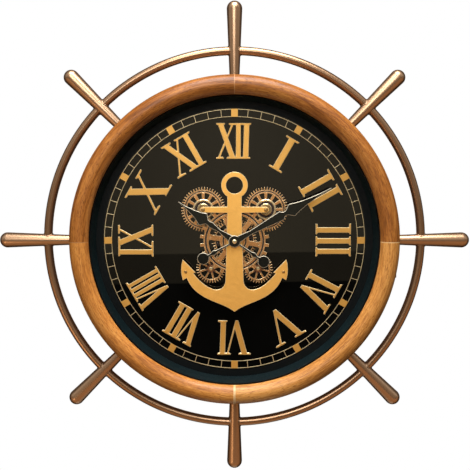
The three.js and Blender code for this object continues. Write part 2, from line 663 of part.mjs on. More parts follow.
// The anchor's right half from the top of its ring down to its point.
function anchorHalf() {
  const half = [];
  const neck = Math.asin(ANCHOR_SHANK_HALF / ANCHOR_RING_RADIUS);
  for (let i = 0; i <= SHAFT_SIDES; i += 1) {
    const turn = Math.PI / 2 - (i / SHAFT_SIDES) * (Math.PI - neck);
    half.push([ANCHOR_RING_RADIUS * Math.cos(turn), ANCHOR_RING_HEIGHT + ANCHOR_RING_RADIUS * Math.sin(turn)]);
  }
  half[0][0] = 0;
  half.push([ANCHOR_SHANK_HALF, upperPlace.y + ANCHOR_STOCK_HALF]);
  for (let i = 0; i <= ROUND_STEPS * 2; i += 1) {
    const turn = Math.PI / 2 - (i / (ROUND_STEPS * 2)) * Math.PI;
    const [x, y] = [ANCHOR_STOCK_END * Math.cos(turn), ANCHOR_STOCK_END * Math.sin(turn)];
    half.push([upperPlace.x + x, upperPlace.y + y]);
  }
  half.push([ANCHOR_SHANK_HALF, upperPlace.y - ANCHOR_STOCK_HALF]);
  const inner = fluke.x - FLUKE_INNER_REACH;
  const outer = fluke.x + FLUKE_HALF;
  const armRoot = new THREE.Vector2(inner + FLUKE_BARB_WIDTH, fluke.y - FLUKE_TIP_SET);
  const crown = new THREE.CubicBezierCurve(
    new THREE.Vector2(ANCHOR_CROWN_HALF, ARM_INNER_RISE - ARM_INNER_DROP),
    new THREE.Vector2(ANCHOR_CROWN_HALF + FLUKE_TIP_SET, -ARM_INNER_DROP),
    new THREE.Vector2((armRoot.x + ANCHOR_CROWN_HALF) / 2, -ARM_INNER_DROP),
    armRoot,
  );
  half.push(...curvePoints(crown, CROWN_STEPS));
  half.push([inner, (fluke.y + armRoot.y) / 2]);
  half.push([outer - FLUKE_TIP_SET, fluke.y + FLUKE_TIP_RISE]);
  half.push([outer, fluke.y + FLUKE_BARB_WIDTH]);
  half.push([outer - FLUKE_TIP_SET, fluke.y - FLUKE_BARB_DROP]);
  const belly = new THREE.CubicBezierCurve(
    new THREE.Vector2(outer - FLUKE_NECK_SET, fluke.y - FLUKE_BARB_DROP + FLUKE_BARB_WIDTH),
    new THREE.Vector2(inner, -ARM_BELLY_DROP),
    new THREE.Vector2(ANCHOR_RING_RADIUS, -ARM_BELLY_DROP),
    new THREE.Vector2(0, -ANCHOR_POINT_DROP),
  );
  half.push(...curvePoints(belly, CROWN_STEPS));
  return half;
}

// Hour and minute hand at ten past ten, with the pipe, arbor and nut that carry them.
function addHands() {
  const hourShape = outline(handOutline({
    length: HOUR_HAND_LENGTH,
    waist: [HOUR_WAIST_AT, HOUR_WAIST_HALF],
    collar: [HOUR_COLLAR_AT, HOUR_COLLAR_HALF],
    leaf: [HOUR_LEAF_AT, HOUR_LEAF_HALF],
  }));
  hourShape.holes.push(path(bore(pipeRadius + FIT_GAP)));
  const hourHand = plate(hourShape, hourBack, HAND_THICKNESS).rotateZ(HOUR_HAND_ANGLE * DEGREE);
  face.add(piece('hour_hand', hourHand, handBlack));

  const minuteShape = outline(handOutline({
    length: MINUTE_HAND_LENGTH,
    waist: [MINUTE_WAIST_AT, MINUTE_WAIST_HALF],
    collar: [MINUTE_COLLAR_AT, MINUTE_COLLAR_HALF],
    leaf: [MINUTE_LEAF_AT, MINUTE_LEAF_HALF],
  }));
  minuteShape.holes.push(path(bore(MINUTE_ARBOR_RADIUS + FIT_GAP)));
  const minuteHand = plate(minuteShape, minuteBack, HAND_THICKNESS).rotateZ(MINUTE_HAND_ANGLE * DEGREE);
  face.add(piece('minute_hand', minuteHand, handBlack));

  const shaftBack = coverFront + KNOB_STEM_LENGTH + 2 * RUNNING_GAP;
  const pipe = outline(circle(pipeRadius, SHAFT_SIDES));
  pipe.holes.push(path(bore(pipeBore)));
  const pipeBack = shaftBack + RUNNING_GAP;
  face.add(piece('hour_pipe', plate(pipe, pipeBack, hourFront + HAND_GAP / 3 - pipeBack), brass));

  const arborFront = minuteFront + NUT_HEIGHT / 2 - FIT_GAP;
  const arbor = outline(circle(MINUTE_ARBOR_RADIUS, SHAFT_SIDES));
  face.add(piece('minute_arbor', plate(arbor, shaftBack, arborFront - shaftBack), steel));

  const nutBore = (MINUTE_ARBOR_RADIUS + FIT_GAP) / facet(SHAFT_SIDES);
  const nut = lathe([
    [0, minuteFront + NUT_HEIGHT / 2],
    [nutBore, minuteFront + NUT_HEIGHT / 2],
    [nutBore, minuteFront],
    [NUT_RADIUS, minuteFront],
    [NUT_RADIUS, minuteFront + NUT_HEIGHT * NUT_CROWN_SHARE],
    [NUT_RADIUS * NUT_CROWN_SHARE, nutFront],
    [0, nutFront],
  ], SHAFT_SIDES);
  face.add(piece('hand_nut', forward(nut), brass));
}

// A hand pointing along +x: boss, waist, collar, notch, leaf and point, with a round tail.
function handOutline({ length, waist, collar, leaf }) {
  const [waistAt, waistHalf] = waist;
  const [collarAt, collarHalf] = collar;
  const [leafAt, leafHalf] = leaf;
  const notchAt = (collarAt + leafAt) / 2;
  const joinTurn = HAND_JOIN_ANGLE * DEGREE;
  const tailWaist = (HAND_TAIL_REACH - HAND_TAIL_RADIUS + HAND_BOSS_RADIUS) / 2;
  const upper = [
    [length, 0],
    ...LEAF_SHOULDERS.map(([along, across]) => [leafAt + (length - leafAt) * along, leafHalf * across]),
    [leafAt, leafHalf],
    [(leafAt + notchAt) / 2, (leafHalf + HAND_NOTCH_HALF) / 2],
    [notchAt, HAND_NOTCH_HALF],
    [(collarAt + notchAt) / 2, HAND_NOTCH_HALF],
    [collarAt, collarHalf],
    [(collarAt + waistAt) / 2, (collarHalf + waistHalf) / 2],
    [waistAt, waistHalf],
  ];
  for (let i = 0; i <= ROUND_STEPS * 2; i += 1) {
    const turn = joinTurn + (i / (ROUND_STEPS * 2)) * (Math.PI - 2 * joinTurn);
    upper.push([HAND_BOSS_RADIUS * Math.cos(turn), HAND_BOSS_RADIUS * Math.sin(turn)]);
  }
  upper.push([-tailWaist, HAND_TAIL_WAIST_HALF]);
  for (let i = 1; i <= ROUND_STEPS * 2; i += 1) {
    const turn = joinTurn + ((i - 1) / (ROUND_STEPS * 2 - 1)) * (Math.PI - joinTurn);
    upper.push([-HAND_TAIL_REACH + HAND_TAIL_RADIUS * Math.cos(turn), HAND_TAIL_RADIUS * Math.sin(turn)]);
  }
  const lower = upper.slice(1, -1).map(([x, y]) => [x, -y]).reverse();
  upper[upper.length - 1][1] = 0;
  return upper.concat(lower);
}

// The quartz movement on the back cover, with its bushing, battery and setting knob.
function addMovement() {
  const bodyShape = outline(box(MOVEMENT_SIZE, MOVEMENT_SIZE, 0, 0));
  const bushing = outline(circle(bushingRadius, SHAFT_SIDES));
  const bushingFront = anchorFront + (hourBack - anchorFront) / 2;
  const shaftBack = coverFront + KNOB_STEM_LENGTH;
  const stemHole = outline(bore(KNOB_STEM_RADIUS + RUNNING_GAP, 0, KNOB_HEIGHT));
  const body = solid(plate(bodyShape, coverFront, MOVEMENT_DEPTH))
    .add(solid(plate(bushing, movementFront - CUT_OVERRUN, bushingFront - movementFront + CUT_OVERRUN)))
    .subtract(solid(plate(outline(bore(bushingBore)), shaftBack, bushingFront)))
    .subtract(solid(plate(stemHole, 0, coverFront + KNOB_STEM_LENGTH + RUNNING_GAP)))
    .subtract(solid(cellTrough(0, -BATTERY_DROP, 0)));
  face.add(piece('movement_case', shapeOf(body), casing));
  face.add(piece('movement_battery', cell(0, -BATTERY_DROP, 0), cellSleeve));

  const knobFront = coverFront - RUNNING_GAP;
  const knobBack = knobFront - KNOB_THICKNESS;
  const stemFront = coverFront + KNOB_STEM_LENGTH;
  const knob = lathe([
    [0, knobBack],
    [KNOB_RADIUS, knobBack],
    [KNOB_RADIUS, knobFront],
    [KNOB_STEM_RADIUS, knobFront],
    [KNOB_STEM_RADIUS, stemFront],
    [0, stemFront],
  ], SHAFT_SIDES);
  face.add(piece('setting_knob', forward(knob).translate(0, KNOB_HEIGHT, 0), casing));
}

// The gear motor beside the movement, its wheel in the drive gear, and its battery.
function addGearMotor() {
  const bodyShape = outline(box(MOTOR_WIDTH, MOTOR_TALL, motorRight - MOTOR_WIDTH / 2, 0));
  const shaftBack = movementFront - MOTOR_SHAFT_DEPTH;
  const shaftHole = outline(bore(MOTOR_SHAFT_RADIUS + RUNNING_GAP, -motorReach, 0));
  const body = solid(plate(bodyShape, coverFront, MOVEMENT_DEPTH))
    .subtract(solid(plate(shaftHole, shaftBack - RUNNING_GAP, MOTOR_SHAFT_DEPTH + CUT_OVERRUN)))
    .subtract(solid(cellTrough(motorCellX(), 0, Math.PI / 2)));
  face.add(piece('motor_case', shapeOf(body), casing));
  face.add(piece('motor_battery', cell(motorCellX(), 0, Math.PI / 2), cellSleeve));

  const gear = outline(teeth(MOTOR_WHEEL_TEETH, meshPhase(MOTOR_WHEEL_TEETH, Math.PI)));
  const shaft = outline(circle(MOTOR_SHAFT_RADIUS, SHAFT_SIDES));
  const wheel = solid(plate(gear, driveBack, DRIVE_THICKNESS))
    .add(solid(plate(shaft, shaftBack, driveFront - shaftBack)));
  face.add(piece('motor_wheel', shapeOf(wheel).translate(-motorReach, 0, 0), brass));
}

// Where the gear motor's battery lies: beside the movement, clear of the motor wheel's shaft.
function motorCellX() {
  return motorRight - cellWindow().y / 2 - 2 * WINDOW_GAP;
}

// The open size of a battery trough, along and across the cell.
function cellWindow() {
  return { x: BATTERY_LENGTH + 2 * FIT_GAP, y: 2 * (BATTERY_RADIUS + FIT_GAP) };
}

// The trough that holds a battery, open towards the wall.
function cellTrough(x, y, turn) {
  const { x: along, y: across } = cellWindow();
  const trough = plate(outline(box(along, across, 0, 0)), 0, coverFront + across);
  return trough.rotateZ(turn).translate(x, y, 0);
}

// A round battery lying in its trough.
function cell(x, y, turn) {
  const rod = plate(outline(circle(BATTERY_RADIUS, SHAFT_SIDES)), -BATTERY_LENGTH / 2, BATTERY_LENGTH);
  return rod.rotateY(Math.PI / 2).rotateZ(turn).translate(x, y, coverFront + BATTERY_RADIUS + FIT_GAP);
}

// Gear outlines

function pitchRadius(count) {
  return (TOOTH_MODULE * count) / 2;
}

// The fine pointed teeth of a wheel, with one tip at the given phase.
function teeth(count, phase) {
  const points = [];
  for (let i = 0; i < count * 2; i += 1) {
    const radius = pitchRadius(count) + (i % 2 === 0 ? TOOTH_ADDENDUM : -TOOTH_DEDENDUM);
    const turn = phase + (i * Math.PI) / count;
    points.push([radius * Math.cos(turn), radius * Math.sin(turn)]);
  }
  return points;
}

// The phase at which a wheel in the given direction meshes with the centre wheel.
function meshPhase(count, direction) {
  const pitch = (2 * Math.PI) / CENTRE_TEETH;
  const past = direction - Math.floor(direction / pitch) * pitch;
  const gap = direction + Math.PI + (past * CENTRE_TEETH) / count;
  return gap + Math.PI / count;
}

// The square teeth of the coarse main gear.
function blockTeeth() {
  const points = [];
  const root = MAIN_TIP_RADIUS - MAIN_TOOTH_DEPTH;
  const pitch = (2 * Math.PI) / MAIN_TEETH;
  const half = (pitch * MAIN_TOOTH_SHARE) / 2;
  for (let i = 0; i < MAIN_TEETH; i += 1) {
    const middle = (i + 0.5) * pitch;
    const tooth = [[root, -half], [MAIN_TIP_RADIUS, -half], [MAIN_TIP_RADIUS, half], [root, half]];
    for (const [radius, turn] of tooth) {
      points.push([radius * Math.cos(middle + turn), radius * Math.sin(middle + turn)]);
    }
  }
  return points;
}

// Cuts the windows between a wheel's spokes, each with an arc of the given steps along its rim.
function addWindows(shape, count, inner, outer, width, angle, steps) {
  const pitch = (2 * Math.PI) / count;
  for (let i = 0; i < count; i += 1) {
    const middle = angle * DEGREE + (i + 0.5) * pitch;
    const points = [];
    for (const [radius, sense] of [[inner, -1], [outer, 1]]) {
      const reach = pitch / 2 - Math.asin(width / 2 / radius);
      for (let k = 0; k <= steps; k += 1) {
        const turn = middle - sense * reach * (1 - (2 * k) / steps);
        points.push([radius * Math.cos(turn), radius * Math.sin(turn)]);
      }
    }
    shape.holes.push(path(points));
  }
}

// A post that stands on the dial up to the anchor, with a blind hole for its screw.
function postProfile(tail, back, shoulder, head, screw) {
  const hole = (screw + FIT_GAP) / facet(SHAFT_SIDES);
  const floor = anchorBack - SCREW_REACH - FIT_GAP;
  return [
    [0, back],
    [tail, back],
    [tail, shoulder],
    [head, shoulder],
    [head, anchorBack],
    [hole, anchorBack],
    [hole, floor],
    [0, floor],
  ];
}

// A screw whose head lies on the anchor and whose shank runs into a post.
function screwProfile(shank, head) {
  return [
    [0, anchorBack - SCREW_REACH],
    [shank, anchorBack - SCREW_REACH],
    [shank, anchorFront],
    [head, anchorFront],
    [head * SCREW_CROWN_SHARE, screwFront],
    [0, screwFront],
  ];
}

// Outlines

function circle(radius, sides, x = 0, y = 0, phase = 0) {
  const points = [];
  for (let i = 0; i < sides; i += 1) {
    const turn = phase + (i / sides) * 2 * Math.PI;
    points.push([x + radius * Math.cos(turn), y + radius * Math.sin(turn)]);
  }
  return points;
}

// A round hole whose flats stay outside the given radius.
function bore(radius, x = 0, y = 0, sides = SHAFT_SIDES) {
  return circle(radius / facet(sides), sides, x, y);
}

function box(width, height, x, y) {
  const across = width / 2;
  const up = height / 2;
  return [[x - across, y - up], [x + across, y - up], [x + across, y + up], [x - across, y + up]];
}

function outline(points) {
  return new THREE.Shape(points.map(([x, y]) => new THREE.Vector2(x, y)));
}

function path(points) {
  return new THREE.Path(points.map(([x, y]) => new THREE.Vector2(x, y)));
}

function curvePoints(curve, steps) {
  return curve.getPoints(steps).map((point) => [point.x, point.y]);
}

// The flat of a regular polygon as a share of its corner radius.
function facet(sides) {
  return Math.cos(Math.PI / sides);
}

function placeOf(angle, reach) {
  return new THREE.Vector2(reach * Math.cos(angle * DEGREE), reach * Math.sin(angle * DEGREE));
}

// Solids

function plate(shape, back, thickness) {
  return new THREE.ExtrudeGeometry(shape, { depth: thickness, bevelEnabled: false }).translate(0, 0, back);
}

// A turned solid about the y axis, its profile given as radius and height.
function lathe(profile, sides, phase = 0) {
  const points = profile.map(([radius, height]) => new THREE.Vector2(radius, height));
  return outward(new THREE.LatheGeometry(points, sides, phase));
}

// A turned ring about the clock's axis, with a flat facing each handle.
function ring(profile) {
  const onAxis = profile[0][0] === 0;
  const closed = onAxis ? profile : profile.concat([profile[0]]);
  return forward(lathe(closed, RING_SIDES, Math.PI / RING_SIDES));
}

// Turns a solid from the y axis to the clock's forward axis.
function forward(geometry) {
  return geometry.rotateX(Math.PI / 2);
}

// Welds corners together, drops collapsed triangles and turns the faces outwards.
function outward(geometry) {
  const bare = geometry.clone();
  bare.deleteAttribute('normal');
  bare.deleteAttribute('uv');
  const merged = mergeVertices(bare, 1e-4);
  const at = merged.getAttribute('position');
  const index = merged.getIndex().array;
  const kept = [];
  let volume = 0;
  const [a, b, c] = [new THREE.Vector3(), new THREE.Vector3(), new THREE.Vector3()];
  for (let i = 0; i < index.length; i += 3) {
    const corners = [index[i], index[i + 1], index[i + 2]];
    if (new Set(corners).size === 3) {
      kept.push(...corners);
      a.fromBufferAttribute(at, corners[0]);
      b.fromBufferAttribute(at, corners[1]);
      c.fromBufferAttribute(at, corners[2]);
      volume += a.dot(b.cross(c));
    }
  }
  merged.setIndex(volume < 0 ? kept.reverse() : kept);
  return merged;
}

function solid(geometry) {
  const closed = outward(geometry);
  const vertProperties = new Float32Array(closed.getAttribute('position').array);
  const triVerts = new Uint32Array(closed.getIndex().array);
  return new wasm.Manifold(new wasm.Mesh({ numProp: 3, vertProperties, triVerts }));
}

function shapeOf(manifold) {
  const mesh = manifold.getMesh();
  const geometry = new THREE.BufferGeometry();
  geometry.setAttribute('position', new THREE.BufferAttribute(new Float32Array(mesh.vertProperties), 3));
  geometry.setIndex(Array.from(mesh.triVerts));
  return geometry;
}

function finish(color, roughness, metalness) {
  return new THREE.MeshStandardMaterial({ color, roughness, metalness });
}

function piece(name, geometry, material) {
  const closed = outward(geometry);
  closed.computeVertexNormals();
  const mesh = new THREE.Mesh(closed, material);
  mesh.name = name;
  return mesh;
}
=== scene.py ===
import math

import bmesh
import bpy
from mathutils import Matrix, Vector
from mathutils.geometry import delaunay_2d_cdt


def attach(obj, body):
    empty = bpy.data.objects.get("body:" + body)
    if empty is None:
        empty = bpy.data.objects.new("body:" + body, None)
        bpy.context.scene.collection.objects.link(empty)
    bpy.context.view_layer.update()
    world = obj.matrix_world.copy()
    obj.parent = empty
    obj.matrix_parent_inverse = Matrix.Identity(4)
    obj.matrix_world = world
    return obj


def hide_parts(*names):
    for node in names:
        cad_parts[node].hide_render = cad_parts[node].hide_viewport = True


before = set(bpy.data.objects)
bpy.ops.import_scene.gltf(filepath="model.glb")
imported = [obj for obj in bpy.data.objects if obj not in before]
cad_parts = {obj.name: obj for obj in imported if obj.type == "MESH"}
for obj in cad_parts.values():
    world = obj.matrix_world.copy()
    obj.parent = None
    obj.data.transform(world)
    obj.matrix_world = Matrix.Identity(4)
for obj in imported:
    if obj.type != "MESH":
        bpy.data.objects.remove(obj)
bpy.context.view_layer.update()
scene = bpy.context.scene

# Room and camera
# A white studio with a pale floor far below the hanging clock, lit by two white lamps and a faint warm one.
# Before the clock the room is dim and warm under a bright ceiling, which the glass and the metal mirror.


def set_inputs(tree, node, inputs):
    for key, value in inputs.items():
        # A node given as a value lends its first output
        source = value.outputs[0] if isinstance(value, bpy.types.Node) else value
        if isinstance(source, bpy.types.NodeSocket):
            tree.links.new(source, node.inputs[key])
        else:
            node.inputs[key].default_value = source


def add_node(tree, kind, inputs=None, **settings):
    made = tree.nodes.new("ShaderNode" + kind)
    for key, value in settings.items():
        setattr(made, key, value)
    set_inputs(tree, made, inputs or {})
    return made


def new_material(name):
    material = bpy.data.materials.new(name)
    material.use_nodes = True
    tree = material.node_tree
    return material, tree, tree.nodes["Principled BSDF"]


def set_ramp(ramp, stops):
    # Places the colours of a ramp, as position and colour
    elements = ramp.color_ramp.elements
    while len(elements) < len(stops):
        elements.new(1.0)
    for element, (position, colour) in zip(elements, stops):
        element.position = position
        element.color = (*colour, 1.0)


def seen_directly(tree):
    # Finds the rays from the camera, off gloss or through glass, which show the backdrop
    rays = add_node(tree, "LightPath")
    sight = add_node(tree, "Math", {0: rays.outputs["Is Camera Ray"], 1: rays.outputs["Is Glossy Ray"]})
    either = {0: sight, 1: rays.outputs["Is Transmission Ray"]}
    return rays, add_node(tree, "Math", either, use_clamp=True)


white = (1.0, 1.0, 1.0, 1.0)
scene.view_settings.view_transform = "Standard"
world = bpy.data.worlds.new("studio")
world.use_nodes = True
scene.world = world
sky = world.node_tree
sky.nodes.clear()
rays, sight = seen_directly(sky)
heading = add_node(sky, "TexCoord")
level = add_node(sky, "Mapping", {
    "Vector": heading.outputs["Generated"], "Rotation": (0.0, math.radians(0.9), 0.0),
})
headings = add_node(sky, "SeparateXYZ", {"Vector": level})
ahead = add_node(sky, "Math", {0: headings.outputs["Y"], 1: -1.0}, operation="MULTIPLY")
rise = add_node(sky, "Math", {0: headings.outputs["Z"], 1: ahead}, operation="ARCTAN2")
height = add_node(sky, "MapRange", {"Value": rise, "From Min": -math.pi / 2, "From Max": math.pi / 2})
room = add_node(sky, "ValToRGB", {"Fac": height})
set_ramp(room, [
    (0.0, (0.68, 0.39, 0.19)),
    (0.4, (0.70, 0.40, 0.195)),
    (0.42, (0.30, 0.245, 0.16)),
    (0.4658, (0.325, 0.262, 0.17)),
    (0.565, (0.37, 0.305, 0.22)),
    (0.675, (0.6, 0.57, 0.52)),
    (0.755, (1.0, 1.0, 0.98)),
])
aside = add_node(sky, "Math", {0: headings.outputs["X"]}, operation="ABSOLUTE")
shade = add_node(sky, "MapRange", {
    "Value": aside, "From Min": 0.02, "From Max": 0.13, "To Min": 1.2, "To Max": 0.95,
})
# Down the room the brightness steps twice and comes back at the floor
for upper, lower, brightness in ((0.4658, 0.4653, 0.4), (0.4541, 0.4536, 0.04), (0.412, 0.404, 1.0)):
    shade = add_node(sky, "MapRange", {
        "Value": height, "From Min": lower, "From Max": upper, "To Min": brightness, "To Max": shade,
    })
lit_room = add_node(sky, "MixRGB", {"Fac": 1.0, "Color1": room, "Color2": shade}, blend_type="MULTIPLY")
turned_away = add_node(sky, "MapRange", {"Value": headings.outputs["Y"], "From Min": -0.2, "From Max": 0.1})
sides = add_node(sky, "MixRGB", {
    "Fac": turned_away, "Color1": lit_room, "Color2": (0.05, 0.036, 0.026, 1.0),
})
behind = add_node(sky, "MapRange", {"Value": headings.outputs["Y"], "From Min": 0.8, "From Max": 0.95})
mirrored = add_node(sky, "MixRGB", {"Fac": behind, "Color1": sides, "Color2": white})
shown = add_node(sky, "MixRGB", {
    "Fac": rays.outputs["Is Glossy Ray"], "Color1": white, "Color2": mirrored,
})
glow = add_node(sky, "MixRGB", {"Fac": sight, "Color1": (0.058, 0.0575, 0.057, 1.0), "Color2": shown})
backdrop = add_node(sky, "Background", {"Color": glow})
add_node(sky, "OutputWorld", {"Surface": backdrop})


def soft_lamp(name, place, side, power, colour=(1.0, 1.0, 1.0)):
    # Hangs a square lamp that faces the clock
    lamp = bpy.data.lights.new(name, "AREA")
    lamp.color = colour
    lamp.size = side
    lamp.energy = power
    holder = bpy.data.objects.new(name, lamp)
    holder.location = place
    holder.rotation_euler = (-Vector(place)).to_track_quat("-Z", "Y").to_euler()
    scene.collection.objects.link(holder)


soft_lamp("ceiling_lamp", (0.05, -0.75, 1.9), 1.4, 90.0)
soft_lamp("front_lamp", (-0.3, -2.35, 1.1), 1.0, 29.0)
soft_lamp("low_lamp", (-1.25, -1.5, -0.95), 0.6, 4.0, (1.0, 0.72, 0.46))

CAMERA_PLACE = (0.0007165, -1.20758, 0.109366)
CAMERA_TILT = 4.907
lens = bpy.data.cameras.new("camera")
lens.lens = 61.165
lens.sensor_width = 36.0
camera = bpy.data.objects.new("camera", lens)
camera.location = CAMERA_PLACE
camera.rotation_euler = (math.radians(90.0 - CAMERA_TILT), 0.0, 0.0)
scene.collection.objects.link(camera)
scene.camera = camera

FLOOR_LEVEL = -1.6
FLOOR_RADIUS = 0.5
floor_paint, floor_tree, _ = new_material("floor_paint")
floor_tree.nodes.clear()
_, floor_sight = seen_directly(floor_tree)
share = add_node(floor_tree, "Math", {0: floor_sight, 1: 0.7}, operation="MULTIPLY")
matt = add_node(floor_tree, "BsdfDiffuse", {"Color": (0.86, 0.86, 0.85, 1.0)})
pale = add_node(floor_tree, "Emission", {"Color": white})
floor_mix = add_node(floor_tree, "MixShader", {0: share, 1: matt, 2: pale})
add_node(floor_tree, "OutputMaterial", {"Surface": floor_mix})
floor_shape = bmesh.new()
bmesh.ops.create_circle(
    floor_shape, cap_ends=True, segments=96, radius=FLOOR_RADIUS,
    matrix=Matrix.Translation((0.0, 0.0, FLOOR_LEVEL)),
)
floor_mesh = bpy.data.meshes.new("floor")
floor_shape.to_mesh(floor_mesh)
floor_shape.free()
floor_mesh.materials.append(floor_paint)
floor = bpy.data.objects.new("floor", floor_mesh)
scene.collection.objects.link(floor)

# Handles
# Eight tapered handles of the ship's wheel, turned from bar with a ball end and plated in antique
# bronze. Their thin ends are welded to the drum.
MM = 0.001
HANDLE_COUNT = 8
HANDLE_STEP = 2.0 * math.pi / HANDLE_COUNT
HANDLE_DEPTH = 19.0
HANDLE_ROOT = 229.6
HANDLE_TIP = 350.0
HANDLE_ROOT_RADIUS = 6.9
HANDLE_GRIP_RADIUS = 11.4


def absorb(shape, part, slot=0):
    # Closes a part, faces it outwards and adds it to a piece's shape
    bmesh.ops.remove_doubles(part, verts=part.verts, dist=1e-6)
    bmesh.ops.recalc_face_normals(part, faces=part.faces)
    if slot:
        for face in part.faces:
            face.material_index = slot
    carrier = bpy.data.meshes.new("carrier")
    part.to_mesh(carrier)
    part.free()
    shape.from_mesh(carrier)
    bpy.data.meshes.remove(carrier)


def turn(shape, profile, steps, x=0.0, z=0.0, slot=0, closed=False, matrix=None):
    # Turns a profile of radius and depth about an axis square to the dial
    part = bmesh.new()
    points = [part.verts.new(((x + radius) * MM, -depth * MM, z * MM)) for radius, depth in profile]
    ring = zip(points, points[1:] + points[:1]) if closed else zip(points, points[1:])
    edges = [part.edges.new(pair) for pair in ring]
    bmesh.ops.spin(
        part, geom=points + edges, cent=(x * MM, 0.0, z * MM), axis=(0.0, 1.0, 0.0),
        angle=2.0 * math.pi, steps=steps, use_merge=True,
    )
    if matrix is not None:
        bmesh.ops.transform(part, matrix=matrix, verts=part.verts)
    absorb(shape, part, slot)


def keep(name, shape, materials, body, replaced=(), crease=35.0, edge=0.0):
    # Makes a shape into a piece that rides on its body in place of the solids it replaces
    mesh = bpy.data.meshes.new(name)
    shape.to_mesh(mesh)
    shape.free()
    for material in materials:
        mesh.materials.append(material)
    mesh.shade_smooth()
    mesh.set_sharp_from_angle(angle=math.radians(crease))
    piece = bpy.data.objects.new(name, mesh)
    scene.collection.objects.link(piece)
    if edge:
        rounding = piece.modifiers.new("edge", "BEVEL")
        rounding.width = edge * MM
        rounding.segments = 2
        rounding.limit_method = "ANGLE"
        rounding.angle_limit = math.radians(crease)
    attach(piece, body)
    if replaced:
        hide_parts(*replaced)


def turned_piece(
    name, profile, steps, material, body, node,
    x=0.0, z=0.0, crease=35.0, edge=0.0, closed=False, matrix=None,
):
    shape = bmesh.new()
    turn(shape, profile, steps, x, z, closed=closed, matrix=matrix)
    keep(name, shape, [material], body, [node], crease, edge)


def flat_reach(tree, place):
    # Finds a point's place on the dial's plane and its distance from the middle
    flat = add_node(tree, "VectorMath", {0: place, 1: (1.0, 0.0, 1.0)}, operation="MULTIPLY")
    return flat, add_node(tree, "VectorMath", {0: flat}, operation="LENGTH").outputs["Value"]


def brushed(name, low, high, roughness, around, outward):
    # Makes a metal finish with fine streaks, by how fast they change round and outward
    material, tree, shader = new_material(name)
    place = add_node(tree, "TexCoord").outputs["Object"]
    flat, radius = flat_reach(tree, place)
    heading = add_node(tree, "VectorMath", {0: flat}, operation="NORMALIZE")
    spread = add_node(tree, "VectorMath", {0: heading, "Scale": around}, operation="SCALE")
    depth = add_node(tree, "VectorMath", {0: place, 1: (0.0, 200.0, 0.0)}, operation="MULTIPLY")
    total = add_node(tree, "VectorMath", {0: spread, 1: depth})
    reach = add_node(tree, "Math", {0: radius, 1: outward}, operation="MULTIPLY")
    streak = add_node(tree, "TexNoise", {
        "Vector": total, "W": reach, "Scale": 1.0, "Detail": 2.0, "Roughness": 0.5,
    }, noise_dimensions="4D")
    tone = add_node(tree, "ValToRGB", {"Fac": streak})
    set_ramp(tone, [(0.3, low), (0.7, high)])
    gloss = add_node(tree, "MapRange", {
        "Value": streak, "From Min": 0.3, "From Max": 0.7,
        "To Min": roughness + 0.01, "To Max": roughness - 0.01,
    })
    set_inputs(tree, shader, {
        "Metallic": 0.9, "Specular Tint": (0.30, 0.19, 0.11, 1.0), "Base Color": tone, "Roughness": gloss,
    })
    return material


handle_bronze = brushed("handle_bronze", (0.34, 0.208, 0.122), (0.395, 0.247, 0.15), 0.31, 60.0, 9.0)
ball = HANDLE_TIP - HANDLE_GRIP_RADIUS
handle_profile = [(0.0, HANDLE_ROOT), (HANDLE_ROOT_RADIUS, HANDLE_ROOT)]
for step in range(13):
    angle = step / 12 * math.pi / 2
    handle_profile.append(
        (HANDLE_GRIP_RADIUS * math.cos(angle), ball + HANDLE_GRIP_RADIUS * math.sin(angle))
    )
for number in range(HANDLE_COUNT):
    outward = Matrix.Rotation(number * HANDLE_STEP, 4, "Y") @ Matrix.Rotation(-math.pi / 2, 4, "X")
    place = Matrix.Translation((0.0, -HANDLE_DEPTH * MM, 0.0)) @ outward
    turned_piece(
        f"turned_handle_{number + 1}", handle_profile, 40, handle_bronze,
        "case", f"handle_{number + 1}", matrix=place,
    )

# Rim
# Eight arcs of round bronze rod between the handles, each bent to the circle and welded at both ends.
# A lumpy bead of weld runs round every joint.
RIM_RADIUS = 278.0
ROD_RADIUS = 6.35
ROD_INSET = math.radians(1.2)
BEAD_RADIUS = 1.0


def mottled(name, low, high, size, metallic, roughness, spread=0.08, bump=0.0, specular=0.5):
    # Makes a finish whose colour and gloss vary softly in patches of a given size
    material, tree, shader = new_material(name)
    place = add_node(tree, "TexCoord").outputs["Object"]
    cloud = add_node(tree, "TexNoise", {
        "Vector": place, "Scale": 1.0 / size, "Detail": 5.0, "Roughness": 0.62,
    })
    tone = add_node(tree, "ValToRGB", {"Fac": cloud})
    set_ramp(tone, [(0.34, low), (0.66, high)])
    speck = add_node(tree, "TexNoise", {"Vector": place, "Scale": 9.0 / size, "Detail": 2.0})
    gloss = add_node(tree, "MapRange", {
        "Value": speck, "From Min": 0.3, "From Max": 0.7,
        "To Min": roughness - spread, "To Max": roughness + spread,
    })
    set_inputs(tree, shader, {
        "Metallic": metallic, "Specular IOR Level": specular, "Base Color": tone, "Roughness": gloss,
    })
    if bump:
        relief = add_node(tree, "Bump", {"Height": speck, "Strength": bump, "Distance": 0.0006})
        set_inputs(tree, shader, {"Normal": relief})
    return material


